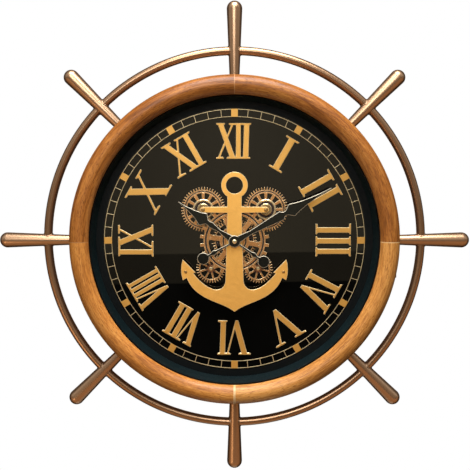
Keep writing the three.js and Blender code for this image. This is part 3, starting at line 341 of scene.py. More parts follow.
def weld_bead(shape, number, sense):
    # Lays a lumpy ring of weld where a rod meets one side of a handle
    part = bmesh.new()
    bmesh.ops.create_circle(part, segments=10, radius=BEAD_RADIUS * MM)
    bmesh.ops.rotate(part, verts=part.verts, matrix=Matrix.Rotation(math.pi / 2, 3, "X"))
    bmesh.ops.translate(part, verts=part.verts, vec=(ROD_RADIUS * MM, 0.0, 0.0))
    bmesh.ops.spin(
        part, geom=part.verts[:] + part.edges[:], cent=(0.0, 0.0, 0.0), axis=(0.0, 0.0, 1.0),
        angle=2.0 * math.pi, steps=44, use_merge=True,
    )
    along = (RIM_RADIUS - HANDLE_ROOT) / (ball - HANDLE_ROOT)
    handle_radius = HANDLE_ROOT_RADIUS + (HANDLE_GRIP_RADIUS - HANDLE_ROOT_RADIUS) * along
    for vert in part.verts:
        angle = math.atan2(vert.co.y, vert.co.x)
        lump = 1.0 + 0.16 * math.sin(11.0 * angle + number) + 0.1 * math.sin(17.0 * angle)
        across = math.hypot(vert.co.x, vert.co.y) / MM
        swell = (across - ROD_RADIUS) * lump + ROD_RADIUS
        side = swell * math.sin(angle)
        saddle = math.sqrt(max(handle_radius ** 2 - min(side ** 2, handle_radius ** 2), 0.0))
        vert.co = (swell * MM * math.cos(angle), side * MM, (vert.co.z / MM * lump + saddle) * MM)
    upright = Matrix.Rotation(sense * math.pi / 2, 4, "Y")
    outward = Matrix.Translation((0.0, 0.0, RIM_RADIUS * MM)) @ upright
    place = Matrix.Translation((0.0, -HANDLE_DEPTH * MM, 0.0))
    bmesh.ops.transform(
        part, matrix=place @ Matrix.Rotation(number * HANDLE_STEP, 4, "Y") @ outward, verts=part.verts
    )
    absorb(shape, part, 1)


bronze = brushed("rod_bronze", (0.285, 0.166, 0.093), (0.335, 0.20, 0.115), 0.28, 4.0, 150.0)
weld = mottled("weld_bead", (0.17, 0.098, 0.055), (0.27, 0.17, 0.10), 0.004, 0.85, 0.35, bump=0.1)
for number in range(HANDLE_COUNT):
    shape = bmesh.new()
    part = bmesh.new()
    bmesh.ops.create_circle(
        part, segments=24, radius=ROD_RADIUS * MM, matrix=Matrix.Rotation(math.pi / 2, 4, "Y")
    )
    bmesh.ops.translate(part, verts=part.verts, vec=(0.0, 0.0, RIM_RADIUS * MM))
    bmesh.ops.rotate(part, verts=part.verts, matrix=Matrix.Rotation(number * HANDLE_STEP + ROD_INSET, 3, "Y"))
    bmesh.ops.spin(
        part, geom=part.verts[:] + part.edges[:], cent=(0.0, 0.0, 0.0), axis=(0.0, 1.0, 0.0),
        angle=HANDLE_STEP - 2.0 * ROD_INSET, steps=36,
    )
    bmesh.ops.holes_fill(part, edges=[edge for edge in part.edges if edge.is_boundary])
    bmesh.ops.translate(part, verts=part.verts, vec=(0.0, -HANDLE_DEPTH * MM, 0.0))
    absorb(shape, part)
    weld_bead(shape, number, 1)
    weld_bead(shape, number + 1, -1)
    keep(f"bent_rim_{number + 1}", shape, [bronze, weld], "case", [f"rim_arc_{number + 1}"])

# Case
# The spun steel drum with its dial ledge, plated like the wheel, closed behind by a black cover sheet
# that eight screws hold, and the pressed steel hanger with its keyhole.
DRUM_RADIUS = 230.5
DRUM_INNER = 227.5
DRUM_FRONT = 33.5
DIAL_BACK = 24.0
LEDGE_INNER = 214.5
LEDGE_BACK = 21.5
FLANGE_INNER = 217.5
FLANGE_FRONT = 5.0
COVER_FRONT = 3.0
COVER_SCREWS = 8
SCREW_CIRCLE = 222.0
HANGER_HEIGHT = 150.0
KNOB_HEIGHT = 14.0
MOVEMENT_CELL = (0.0, -18.0)
MOTOR_CELL = (-39.4, 0.0)
TROUGH_LENGTH = 50.6
TROUGH_WIDTH = 14.8
KEYHOLE_HEIGHT = 147.0
KEYHOLE_RADIUS = 6.0
SLOT_HALF = 3.0
SLOT_FOOT = 149.0
SLOT_TOP = 157.8
SHEET_CREASE = 12.0


def sheet(shape, outlines, back, front, edge, slot=0, x=0.0, z=0.0):
    # Cuts a sheet to its outlines, of which those inside another are holes, and rounds its edges
    curve = bpy.data.curves.new("outline", "CURVE")
    curve.dimensions = "2D"
    curve.fill_mode = "BOTH"
    for points in outlines:
        spline = curve.splines.new("POLY")
        spline.points.add(len(points) - 1)
        for place, (across, up) in zip(spline.points, points):
            place.co = ((x + across) * MM, (z + up) * MM, 0.0, 1.0)
        spline.use_cyclic_u = True
    curve.extrude = ((front - back) / 2 - edge) * MM
    curve.bevel_depth = edge * MM
    curve.bevel_resolution = 1
    curve.offset = -edge * MM
    holder = bpy.data.objects.new("outline", curve)
    flat = bpy.data.meshes.new_from_object(holder)
    part = bmesh.new()
    part.from_mesh(flat)
    bpy.data.objects.remove(holder)
    bpy.data.curves.remove(curve)
    bpy.data.meshes.remove(flat)
    standing = Matrix.Rotation(math.pi / 2, 4, "X")
    middle = Matrix.Translation((0.0, -(back + front) / 2 * MM, 0.0))
    bmesh.ops.transform(part, matrix=middle @ standing, verts=part.verts)
    absorb(shape, part, slot)


def polar(radius, angle):
    return (radius * math.cos(angle), radius * math.sin(angle))


def circle(radius, count, x=0.0, z=0.0):
    angles = [step / count * 2.0 * math.pi for step in range(count)]
    return [(x + radius * math.cos(angle), z + radius * math.sin(angle)) for angle in angles]


def rectangle(width, tall, x=0.0, z=0.0):
    across = width / 2
    up = tall / 2
    return [(x - across, z - up), (x + across, z - up), (x + across, z + up), (x - across, z + up)]


def eased(points, radius, steps=4):
    # Rounds the corners of an outline
    smooth = []
    for index, corner in enumerate(points):
        corner = Vector(corner)
        before = Vector(points[index - 1]) - corner
        after = Vector(points[(index + 1) % len(points)]) - corner
        start = corner + before.normalized() * min(radius, before.length * 0.45)
        end = corner + after.normalized() * min(radius, after.length * 0.45)
        for step in range(steps + 1):
            share = step / steps
            first = start.lerp(corner, share)
            second = corner.lerp(end, share)
            smooth.append(tuple(first.lerp(second, share)))
    return smooth


turned_piece("spun_drum", [
    (DRUM_RADIUS, COVER_FRONT), (DRUM_RADIUS, DRUM_FRONT), (DRUM_INNER, DRUM_FRONT), (DRUM_INNER, DIAL_BACK),
    (LEDGE_INNER, DIAL_BACK), (LEDGE_INNER, LEDGE_BACK), (DRUM_INNER, LEDGE_BACK),
    (DRUM_INNER, FLANGE_FRONT), (FLANGE_INNER, FLANGE_FRONT), (FLANGE_INNER, COVER_FRONT),
], 160, bronze, "case", "case_drum", edge=0.5, closed=True)

cover_black = mottled("cover_black", (0.010, 0.010, 0.010), (0.022, 0.021, 0.020), 0.02, 0.0, 0.62, bump=0.12)
keyhole = []
for step in range(25):
    angle = math.pi / 2 + math.pi / 6 + step / 24 * (2.0 * math.pi - math.pi / 3)
    keyhole.append((KEYHOLE_RADIUS * math.cos(angle), KEYHOLE_HEIGHT + KEYHOLE_RADIUS * math.sin(angle)))
slot_corners = [
    (SLOT_HALF, SLOT_FOOT), (SLOT_HALF, SLOT_TOP), (-SLOT_HALF, SLOT_TOP), (-SLOT_HALF, SLOT_FOOT),
]
keyhole += eased(slot_corners, SLOT_HALF)[5:15]
screw_step = 2.0 * math.pi / COVER_SCREWS
screw_places = [polar(SCREW_CIRCLE, (number + 0.5) * screw_step) for number in range(COVER_SCREWS)]
shape = bmesh.new()
sheet(shape, [
    circle(DRUM_RADIUS, 160),
    eased(rectangle(TROUGH_LENGTH, TROUGH_WIDTH, *MOVEMENT_CELL), 1.5),
    circle(9.0, 40, 0.0, KNOB_HEIGHT),
    eased(rectangle(TROUGH_WIDTH, TROUGH_LENGTH, *MOTOR_CELL), 1.5),
    eased(rectangle(30.0, 30.0, 0.0, HANGER_HEIGHT), 3.0),
] + [circle(3.6, 24, *place) for place in screw_places], 0.0, COVER_FRONT, 0.3)
keep("cover_sheet", shape, [cover_black], "case", ["back_cover"], SHEET_CREASE)

zinc = mottled("zinc_steel", (0.42, 0.415, 0.40), (0.62, 0.61, 0.58), 0.006, 0.95, 0.34, bump=0.05)
shape = bmesh.new()
sheet(shape, [eased(rectangle(60.0, 36.0, 0.0, HANGER_HEIGHT), 4.0), keyhole], COVER_FRONT, 4.5, 0.2)
rivet = [(0.0, 5.6), (1.6, 5.5), (2.6, 5.0), (2.8, 4.4), (0.0, 4.4)]
for side in (-1, 1):
    turn(shape, rivet, 20, side * 24.0, HANGER_HEIGHT)
keep("pressed_hanger", shape, [zinc], "case", ["hanger_plate"], SHEET_CREASE)

shape = bmesh.new()
for x, z in screw_places:
    sheet(shape, [circle(3.3, 24), rectangle(4.6, 0.8)], 0.2, 1.1, 0.15, 0, x, z)
    turn(shape, [(0.0, 1.0), (3.2, 1.0), (3.2, COVER_FRONT), (0.0, COVER_FRONT)], 24, x, z)
keep("cover_screws", shape, [zinc], "case", (), SHEET_CREASE)

# Dial
# A sheet of black-painted steel on the drum's ledge, glossy with a matt margin. Round it a sloped ring,
# painted dark blue-green, rises to the glass.
DIAL_FRONT = 26.0
DIAL_RADIUS = 227.2
GLOSS_RADIUS = 195.0
RING_FLANGE = 28.5
RING_TOP = 45.8
dial_black = mottled(
    "dial_black", (0.0012, 0.0012, 0.0011), (0.0020, 0.0019, 0.0018), 0.05, 0.0, 0.01, 0.003, specular=0.85
)
ring_teal = mottled(
    "ring_teal", (0.0044, 0.0106, 0.0126), (0.0062, 0.0138, 0.0162), 0.04, 0.0, 0.5, specular=0.12
)
margin_black = mottled(
    "dial_margin", (0.0018, 0.0026, 0.003), (0.0026, 0.0036, 0.004), 0.05, 0.0, 0.6, specular=0.1
)
UPPER_PLACE = 46.1599
LOWER_PLACE = (34.9677, -41.6728)
FLUKE_PLACE = (72.0, -45.3)
dial_cuts = [circle(GLOSS_RADIUS, 240), circle(8.5, 40)]
for side in (-1, 1):
    dial_cuts.append(circle(3.3, 20, side * UPPER_PLACE, UPPER_PLACE))
    dial_cuts.append(circle(2.5, 20, side * LOWER_PLACE[0], LOWER_PLACE[1]))
    dial_cuts.append(circle(2.5, 20, side * FLUKE_PLACE[0], FLUKE_PLACE[1]))
shape = bmesh.new()
sheet(shape, dial_cuts, DIAL_BACK, DIAL_FRONT, 0.02)
sheet(shape, [circle(DIAL_RADIUS, 240), circle(GLOSS_RADIUS, 240)], DIAL_BACK, DIAL_FRONT, 0.02, 1)
keep("painted_dial", shape, [dial_black, margin_black], "case", ["dial_plate"], SHEET_CREASE)
turned_piece("sloped_ring", [
    (205.7, DIAL_FRONT), (DIAL_RADIUS, DIAL_FRONT), (DIAL_RADIUS, RING_FLANGE), (214.6, RING_FLANGE),
    (212.5, RING_TOP), (210.9, RING_TOP),
], 160, ring_teal, "case", "dial_ring", edge=0.3, closed=True)

# Minute track
# A thin pressing plated in pale gold and glued on the dial: two fine rings joined by a tick for every
# minute. Twelve blocks in the numerals' gold, one for every hour, are fixed on it.
TRACK_FRONT = 26.7
BLOCK_RISE = 0.15
TRACK_OUTER = 193.5
TRACK_INNER = 181.9
TRACK_LINE = 0.85
TICK_HALF = 0.42
HOUR_BLOCK_HALF = 4.9
pale_gold = mottled("pale_gold", (0.62, 0.48, 0.27), (0.68, 0.54, 0.32), 0.03, 0.6, 0.35, 0.04)
numeral_gold = mottled("numeral_gold", (0.70, 0.365, 0.08), (0.75, 0.40, 0.095), 0.05, 0.65, 0.4, 0.04)


def turned(points, angle):
    cosine = math.cos(angle)
    sine = math.sin(angle)
    return [(across * cosine - up * sine, across * sine + up * cosine) for across, up in points]


def tick_half(minute):
    return HOUR_BLOCK_HALF if minute % 5 == 0 else TICK_HALF


def track_window(minute):
    # Outlines the opening between one tick and the next
    corners = []
    for radius, order in ((TRACK_INNER + TRACK_LINE, 1), (TRACK_OUTER - TRACK_LINE, -1)):
        first = math.radians(minute * 6.0) + math.asin(tick_half(minute) / radius)
        last = math.radians(minute * 6.0 + 6.0) - math.asin(tick_half(minute + 1) / radius)
        for step in range(4)[::order]:
            angle = first + (last - first) * step / 3
            corners.append((radius * math.sin(angle), radius * math.cos(angle)))
    return corners


shape = bmesh.new()
track_cuts = [circle(TRACK_OUTER, 240), circle(TRACK_INNER, 240)]
track_cuts += [track_window(minute) for minute in range(60)]
sheet(shape, track_cuts, DIAL_FRONT, TRACK_FRONT, 0.12)
track_middle = (TRACK_OUTER + TRACK_INNER) / 2
block = rectangle(2.0 * HOUR_BLOCK_HALF, TRACK_OUTER - TRACK_INNER, 0.0, track_middle)
for hour in range(12):
    turned_block = turned(block, math.radians(-30.0 * hour))
    sheet(shape, [turned_block], DIAL_FRONT, TRACK_FRONT + BLOCK_RISE, 0.1, 1)
keep("minute_track", shape, [pale_gold, numeral_gold], "case", (), SHEET_CREASE)

# Numerals
# Twelve raised Roman numerals cut from gold-plated sheet and glued on with their feet to the centre.
# Each is its slanted and upright strokes, joined to serif bars along its foot and its head.
NUMERAL_FOOT = 120.4
NUMERAL_HEAD = 172.9
NUMERAL_FRONT = 27.0
NUMERAL_BEVEL = 0.65
SERIF = 2.0
BRACKET = 1.1
# The paler gold on the rims and bevels of the numerals and the anchor is a painted highlight along their
# edges
gold_edge_highlight = mottled("painted_edge_highlight", (0.86, 0.62, 0.31), (0.90, 0.68, 0.38), 0.02, 0.35, 0.3, 0.04)
# Strokes are given as the middle at the foot, the middle at the head and the width. A vee is given as its
# point's two sides at the foot, then head and width of its thick and its thin stroke. Bars are given as ends.
NUMERALS = [
    ([(-0.7, -0.7, 10.1)], [], [(-11.7, 10.3)], [(-11.3, 10.5)]),
    (
        [(-11.7, -11.7, 8.9), (10.9, 10.9, 8.9)], [],
        [(-21.7, -3.9), (3.4, 21.4)],
        [(-22.3, -3.6), (2.8, 21.4)],
    ),
    (
        [(-15.3, -15.3, 8.0), (0.9, 0.9, 8.1), (16.6, 16.6, 7.9)], [],
        [(-24.4, -9.1), (-5.8, 7.6), (10.2, 24.3)],
        [(-25.1, -9.1), (-5.8, 7.6), (10.5, 24.3)],
    ),
    (
        [(-10.9, -13.0, 8.5)], [((7.6, 12.2), (21.4, 8.8), (-4.2, 2.5))],
        [(-20.0, -2.1)],
        [(-22.6, 1.0), (11.8, 29.4)],
    ),
    ([], [((-1.6, 3.0), (-15.2, 9.1), (18.8, 3.5))], [], [(-25.0, -5.6), (10.6, 26.6)]),
    (
        [(16.6, 18.4, 8.1)], [((-5.6, -1.3), (-15.3, 8.5), (10.7, 2.5))],
        [(10.6, 24.8)],
        [(-24.2, -6.2), (6.0, 25.8)],
    ),
    (
        [(6.9, 7.1, 7.9), (18.8, 19.1, 7.9)], [((-9.9, -5.8), (-18.1, 8.0), (1.5, 2.4))],
        [(1.0, 26.6)],
        [(-23.2, -9.5), (-5.0, 26.3)],
    ),
    (
        [(2.4, 2.4, 5.7), (10.8, 10.8, 5.5), (19.0, 19.0, 5.4)], [((-11.9, -7.7), (-18.4, 7.2), (-3.1, 2.4))],
        [(-3.5, 25.4)],
        [(-23.4, -10.6), (-7.6, 25.4)],
    ),
    (
        [(-17.5, -17.5, 7.6), (16.8, -4.5, 8.8), (-11.6, 17.4, 3.4)], [],
        [(-24.6, -1.2), (6.4, 23.4)],
        [(-23.8, 5.4), (9.8, 23.0)],
    ),
    (
        [(14.4, -17.2, 11.4), (-22.6, 13.8, 4.1)], [],
        [(-26.8, -10.6), (6.2, 25.0)],
        [(-26.4, -6.9), (6.1, 21.6)],
    ),
    (
        [(4.7, -19.0, 8.6), (-22.8, 2.2, 3.3), (14.3, 14.6, 8.2)], [],
        [(-26.8, -12.5), (-6.3, 22.6)],
        [(-25.8, -9.5), (-3.9, 22.8)],
    ),
    (
        [(-2.3, -21.1, 8.2), (-23.6, -2.2, 3.2), (5.5, 5.7, 7.2), (16.4, 18.0, 8.2)], [],
        [(-27.0, -15.8), (-11.6, 23.2)],
        [(-27.0, -13.9), (-8.4, 24.7)],
    ),
]


def vee(point, thick, thin):
    # Outlines the two strokes of a V, the thick one cut where the thin one crosses
    sense = 1 if thick[0] < thin[0] else -1
    near, far = sorted(sense * side for side in point)
    thick_head = sense * thick[0] - thick[1] / 2
    thin_head = sense * thin[0] + thin[1] / 2
    share = (near + thick[1] - far) / ((thin_head - far) - (thick_head - near))
    crossing = (far + (thin_head - far) * share, NUMERAL_FOOT + (NUMERAL_HEAD - NUMERAL_FOOT) * share)
    broad = [
        (near, NUMERAL_FOOT), (far, NUMERAL_FOOT), crossing,
        (thick_head + thick[1], NUMERAL_HEAD), (thick_head, NUMERAL_HEAD),
    ]
    slim = [
        (far - thin[1], NUMERAL_FOOT), (far, NUMERAL_FOOT),
        (thin_head, NUMERAL_HEAD), (thin_head - thin[1], NUMERAL_HEAD),
    ]
    return [[(sense * across, up) for across, up in polygon] for polygon in (broad, slim)]


def serif_bar(ends, level, inward):
    left, right = ends
    deep = level + inward * (SERIF + BRACKET)
    return [
        (left, level), (right, level), (right, level + inward * SERIF),
        (right - BRACKET * 1.6, deep), (left + BRACKET * 1.6, deep), (left, level + inward * SERIF),
    ]


def united(polygons):
    # Joins overlapping strokes into one flat shape
    points = []
    loops = []
    for polygon in polygons:
        area = sum(a[0] * b[1] - b[0] * a[1] for a, b in zip(polygon, polygon[1:] + polygon[:1]))
        ordered = polygon if area > 0 else polygon[::-1]
        loops.append(list(range(len(points), len(points) + len(ordered))))
        points += [Vector(point) for point in ordered]
    places, _, faces, _, _, sources = delaunay_2d_cdt(points, [], loops, 1, 1e-4)
    flat = bmesh.new()
    corners = [flat.verts.new((place.x * MM, place.y * MM, 0.0)) for place in places]
    for face, source in zip(faces, sources):
        if source:
            flat.faces.new([corners[index] for index in face])
    bmesh.ops.dissolve_limit(flat, angle_limit=0.01, verts=flat.verts, edges=flat.edges)
    return flat


def raise_flat(flat, back, front, edge):
    # Gives a flat shape its thickness and a bevel round its front
    grown = bmesh.ops.extrude_face_region(flat, geom=flat.faces[:])
    tops = [item for item in grown["geom"] if isinstance(item, bmesh.types.BMVert)]
    bmesh.ops.translate(flat, verts=tops, vec=(0.0, 0.0, (front - back) * MM))
    bmesh.ops.recalc_face_normals(flat, faces=flat.faces)
    level = (front - back) * MM * 0.99
    rims = [
        edge_line for edge_line in flat.edges
        if all(vert.co.z > level for vert in edge_line.verts) and edge_line.calc_face_angle(0.0) > 0.5
    ]
    bmesh.ops.bevel(
        flat, geom=rims, offset=edge * MM, affect="EDGES", segments=1, profile=0.5, material=-1
    )
    bmesh.ops.translate(flat, verts=flat.verts, vec=(0.0, 0.0, back * MM))


def paint_edge_highlights(shape, slot):
    # Gives the rims and bevels of a sheet a paler colour of their own, a painted highlight along every edge
    for face in shape.faces:
        if face.material_index == 0 and abs(face.normal.y) < 0.95:
            face.material_index = slot


for hour, (strokes, vees, feet, heads) in enumerate(NUMERALS, 1):
    polygons = []
    for foot, head, width in strokes:
        half = width / 2
        polygons.append([
            (foot - half, NUMERAL_FOOT), (foot + half, NUMERAL_FOOT),
            (head + half, NUMERAL_HEAD), (head - half, NUMERAL_HEAD),
        ])
    for shape_of_vee in vees:
        polygons += vee(*shape_of_vee)
    polygons += [serif_bar(ends, NUMERAL_FOOT, 1) for ends in feet]
    polygons += [serif_bar(ends, NUMERAL_HEAD, -1) for ends in heads]
    flat = united(polygons)
    raise_flat(flat, DIAL_FRONT, NUMERAL_FRONT, NUMERAL_BEVEL)
    standing = Matrix.Rotation(math.radians(30.0 * hour), 4, "Y") @ Matrix.Rotation(math.pi / 2, 4, "X")
    bmesh.ops.transform(flat, matrix=standing, verts=flat.verts)
    shape = bmesh.new()
    absorb(shape, flat)
    paint_edge_highlights(shape, 1)
    keep(f"numeral_{hour}", shape, [numeral_gold, gold_edge_highlight], "case", (), SHEET_CREASE)

# Gear wheels
# Copper-plated wheels of the open train, stamped with fine teeth, cut out between their spokes and
# faced with raised rings. The two large and the two small wheels all mesh with the centre wheel.
WHEEL_BACK = 27.5
WEB_FRONT = 30.0
FACE_BACK = 29.8
SPOKE_BACK = 29.9
WHEEL_FRONT = 30.5
FACE_EDGE = 0.3
HUB_BACK = 26.3
HUB_RING_BACK = 30.3
TOOTH_MODULE = 1.36
TOOTH_TIP = 0.2
TOOTH_ROOT = 3.9
CENTRE_TEETH = 48
UPPER_TEETH = 48
LOWER_TEETH = 32
CENTRE_BORE = 8.6
UPPER_BORE = 3.4
LOWER_BORE = 2.6
copper = mottled("satin_copper", (0.84, 0.41, 0.155), (0.89, 0.45, 0.178), 0.03, 0.85, 0.25, 0.02)
# The near-black copper on the webs and hub bodies behind the raised faces is painted shade in the grooves and
# openings between them
copper_painted_shade = mottled("copper_painted_shade", (0.013, 0.005, 0.003), (0.03, 0.012, 0.006), 0.02, 0.3, 0.5)
bright_ring = mottled("bright_ring", (0.78, 0.60, 0.34), (0.84, 0.66, 0.40), 0.03, 0.75, 0.22, 0.02)
# The paler copper on the rims and bevels of the wheels and the main gear is a painted highlight along their
# edges
copper_edge_highlight = mottled("copper_edge_highlight", (0.95, 0.66, 0.36), (0.98, 0.72, 0.42), 0.02, 0.6, 0.22, 0.02)
hub_copper = mottled("hub_copper", (0.20, 0.075, 0.03), (0.34, 0.14, 0.055), 0.008, 0.5, 0.35)


def toothed(count, tip, root, tip_share, root_share, phase):
    pitch = 2.0 * math.pi / count
    points = []
    for number in range(count):
        middle = phase + number * pitch
        for radius, offset in (
            (root, -root_share), (tip, -tip_share), (tip, tip_share), (root, root_share),
        ):
            points.append(polar(radius, middle + offset * pitch))
    return points


def fine_teeth(count, phase):
    pitch_radius = TOOTH_MODULE * count / 2
    return toothed(count, pitch_radius + TOOTH_TIP, pitch_radius - TOOTH_ROOT, 0.14, 0.22, phase)


def mesh_phase(count, direction):
    # Turns a wheel so that its teeth stand in the centre wheel's gaps
    pitch = 2.0 * math.pi / CENTRE_TEETH
    past = direction - math.floor(direction / pitch) * pitch
    return direction + math.pi + past * CENTRE_TEETH / count + math.pi / count


def windows(count, inner, outer, spoke, phase, ease):
    # Outlines the openings between a wheel's spokes
    cuts = []
    pitch = 2.0 * math.pi / count
    for number in range(count):
        middle = phase + (number + 0.5) * pitch
        corners = []
        for radius, sense, steps in ((inner, 1, 2), (outer, -1, 6)):
            reach = pitch / 2 - math.asin(spoke / 2 / radius)
            for step in range(steps + 1):
                corners.append(polar(radius, middle + sense * reach * (2.0 * step / steps - 1.0)))
        cuts.append(eased(corners, ease, 3))
    return cuts


def scalloped(outer, inner, waves, depth):
    # Outlines a ring with a wavy inner edge
    edge = []
    for step in range(waves * 6):
        angle = step / (waves * 6) * 2.0 * math.pi
        edge.append(polar(inner + depth * abs(math.sin(waves / 2 * angle)), angle))
    return [circle(outer, 96), edge]


def raised_spokes(shape, spoke, count, lean, x, z):
    for number in range(count):
        turned_spoke = turned(spoke, lean + number * 2.0 * math.pi / count)
        sheet(shape, [turned_spoke], SPOKE_BACK, WHEEL_FRONT, FACE_EDGE, 0, x, z)


for name, side in (("left", -1), ("right", 1)):
    x = side * UPPER_PLACE
    z = UPPER_PLACE
    teeth = fine_teeth(UPPER_TEETH, mesh_phase(UPPER_TEETH, math.atan2(z, x)))
    shape = bmesh.new()
    cuts = windows(12, 16.6, 24.0, 4.6, 0.0, 0.8)
    sheet(shape, [teeth, circle(UPPER_BORE, 32)] + cuts, WHEEL_BACK, WEB_FRONT, 0.15, 1, x, z)
    sheet(shape, [teeth, circle(27.6, 96)], FACE_BACK, WHEEL_FRONT, FACE_EDGE, 0, x, z)
    sheet(shape, [circle(25.9, 96), circle(24.1, 96)], FACE_BACK, WHEEL_FRONT, FACE_EDGE, 0, x, z)
    raised_spokes(shape, [(15.2, -1.8), (24.4, -2.2), (24.4, 2.2), (15.2, 1.8)], 12, 0.0, x, z)
    turn(shape, [
        (UPPER_BORE, HUB_BACK), (15.0, HUB_BACK), (15.0, 30.4), (UPPER_BORE, 30.4),
    ], 64, x, z, 1, closed=True)
    sheet(shape, scalloped(12.4, 9.1, 20, 1.1), HUB_RING_BACK, 30.9, 0.2, 1, x, z)
    turn(shape, [
        (12.0, HUB_RING_BACK), (15.4, HUB_RING_BACK), (15.4, 30.6), (15.0, 31.2), (14.3, 31.6),
        (13.3, 31.6), (12.5, 31.2), (12.0, 30.6),
    ], 64, x, z, 2, closed=True)
    turn(shape, [
        (UPPER_BORE, HUB_RING_BACK), (9.0, HUB_RING_BACK), (9.0, 30.7), (8.7, 31.3), (8.2, 31.6),
        (7.6, 31.5), (7.0, 30.9), (UPPER_BORE, 30.9),
    ], 64, x, z, 2, closed=True)
    paint_edge_highlights(shape, 3)
    keep(
        f"spoked_wheel_upper_{name}", shape, [copper, copper_painted_shade, bright_ring, copper_edge_highlight],
        f"upper_wheel_{name}", [f"upper_wheel_{name}"], SHEET_CREASE,
    )

    x = side * LOWER_PLACE[0]
    z = LOWER_PLACE[1]
    teeth = fine_teeth(LOWER_TEETH, mesh_phase(LOWER_TEETH, math.atan2(z, x)))
    lean = math.radians(-side * 14.0)
    bore = circle(LOWER_BORE, 24)
    shape = bmesh.new()
    cuts = windows(8, 7.8, 15.8, 2.8, lean, 0.8)
    sheet(shape, [teeth, bore] + cuts, WHEEL_BACK, WEB_FRONT, 0.15, 1, x, z)
    sheet(shape, [teeth, circle(16.0, 72)], FACE_BACK, WHEEL_FRONT, FACE_EDGE, 0, x, z)
    raised_spokes(shape, [(6.8, -1.0), (16.4, -1.3), (16.4, 1.3), (6.8, 1.0)], 8, lean, x, z)
    turn(shape, [
        (LOWER_BORE, HUB_BACK), (7.6, HUB_BACK), (7.6, 29.9), (LOWER_BORE, 29.9),
    ], 48, x, z, 1, closed=True)
    notched_hub = toothed(8, 7.6, 5.2, 0.16, 0.26, lean)
    sheet(shape, [notched_hub, bore], FACE_BACK, WHEEL_FRONT, FACE_EDGE, 2, x, z)
    paint_edge_highlights(shape, 3)
    keep(
        f"spoked_wheel_lower_{name}", shape, [copper, copper_painted_shade, hub_copper, copper_edge_highlight],
        f"lower_wheel_{name}", [f"lower_wheel_{name}"], SHEET_CREASE,
    )

shape = bmesh.new()
slots = windows(24, 17.2, 20.0, 1.6, 0.0, 0.4)
cuts = windows(8, 21.6, 28.0, 3.4, 0.2, 1.2)
centre_teeth = fine_teeth(CENTRE_TEETH, 0.0)
sheet(shape, [centre_teeth, circle(CENTRE_BORE, 48)] + slots + cuts, WHEEL_BACK, WEB_FRONT, 0.15, 1)
sheet(shape, [centre_teeth, circle(27.8, 96)], FACE_BACK, WHEEL_FRONT, FACE_EDGE)
for outer, inner in ((21.5, 20.2), (17.0, 14.2)):
    sheet(shape, [circle(outer, 72), circle(inner, 72)], FACE_BACK, WHEEL_FRONT, FACE_EDGE)
paint_edge_highlights(shape, 2)
keep(
    "fine_centre_wheel", shape, [copper, copper_painted_shade, copper_edge_highlight],
    "gear_train", ["centre_wheel"], SHEET_CREASE,
)

# Main gear
# The coarse copper-plated gear in front of the train, with square teeth, six arms and a groove turned in its
# rim, whose floor is painted dark as shade. It sits on the same arbor as the centre wheel.
MAIN_BACK = 32.0
MAIN_WEB_FRONT = 34.5
MAIN_FACE_BACK = 34.2
MAIN_FRONT = 35.0
MAIN_EDGE = 0.35
MAIN_TIP = 51.1
MAIN_ROOT = 45.9
ARM_TURN = math.radians(-9.0)
shape = bmesh.new()
main_teeth = toothed(24, MAIN_TIP, MAIN_ROOT, 0.185, 0.205, math.radians(7.5))
cuts = windows(6, 22.0, 38.2, 7.5, ARM_TURN, 5.0)
main_bore = circle(CENTRE_BORE, 48)
sheet(shape, [main_teeth, main_bore] + cuts, MAIN_BACK, MAIN_WEB_FRONT, 0.2, 1)
sheet(shape, [main_teeth, circle(43.6, 120)], MAIN_FACE_BACK, MAIN_FRONT, 0.4)
arm = [(20.6, -3.6), (33.4, -3.6), (39.4, -5.4), (39.4, 5.4), (33.4, 3.6), (20.6, 3.6)]
for number in range(6):
    angle = ARM_TURN + number * math.pi / 3
    pin_hole = circle(0.9, 16, *polar(36.6, angle))
    sheet(shape, [eased(turned(arm, angle), 2.0, 3), pin_hole], MAIN_FACE_BACK, 34.95, MAIN_EDGE)
for outline in (
    [circle(41.2, 120), circle(38.2, 120)], [circle(21.9, 96), circle(17.6, 96)],
    [circle(15.6, 72), main_bore],
):
    sheet(shape, outline, MAIN_FACE_BACK, MAIN_FRONT, MAIN_EDGE)
paint_edge_highlights(shape, 2)
keep(
    "coarse_main_gear", shape, [copper, copper_painted_shade, copper_edge_highlight],
    "gear_train", ["main_gear"], SHEET_CREASE,
)

# Wheel posts and arbor
# Turned posts that the wheels run on: the upper ones carry the ends of the anchor's stock, the lower ones
# end in small heads. Brass pillars carry its flukes, and the gear arbor is a brass tube with a drive gear.
ANCHOR_BACK = 38.0
POST_BACK = 22.5
HOLE_BACK = 33.7
DRIVE_BACK = 20.7
ARBOR_BORE = 5.9
TURNED_CREASE = 30.0
brass = mottled("turned_brass", (0.48, 0.33, 0.14), (0.66, 0.48, 0.22), 0.006, 0.85, 0.3, bump=0.03)
post_brass = mottled("post_brass", (0.40, 0.27, 0.12), (0.52, 0.37, 0.18), 0.01, 0.85, 0.28, 0.03)
upper_post = [
    (0.0, POST_BACK), (3.0, POST_BACK), (3.0, 31.8), (7.3, 31.8), (7.3, 33.4), (6.9, 33.8), (5.9, 33.8),
    (5.9, 36.4), (6.9, 36.4), (7.3, 36.8), (7.3, 37.7), (7.0, ANCHOR_BACK), (6.2, ANCHOR_BACK),
    (5.9, 37.3), (5.2, 37.3), (4.9, ANCHOR_BACK), (1.9, ANCHOR_BACK), (1.9, HOLE_BACK), (0.0, HOLE_BACK),
]
lower_post = [
    (0.0, POST_BACK), (2.2, POST_BACK), (2.2, 30.8), (3.0, 30.8), (3.0, 31.1), (2.6, 31.5), (1.4, 31.7),
    (0.0, 31.8),
]
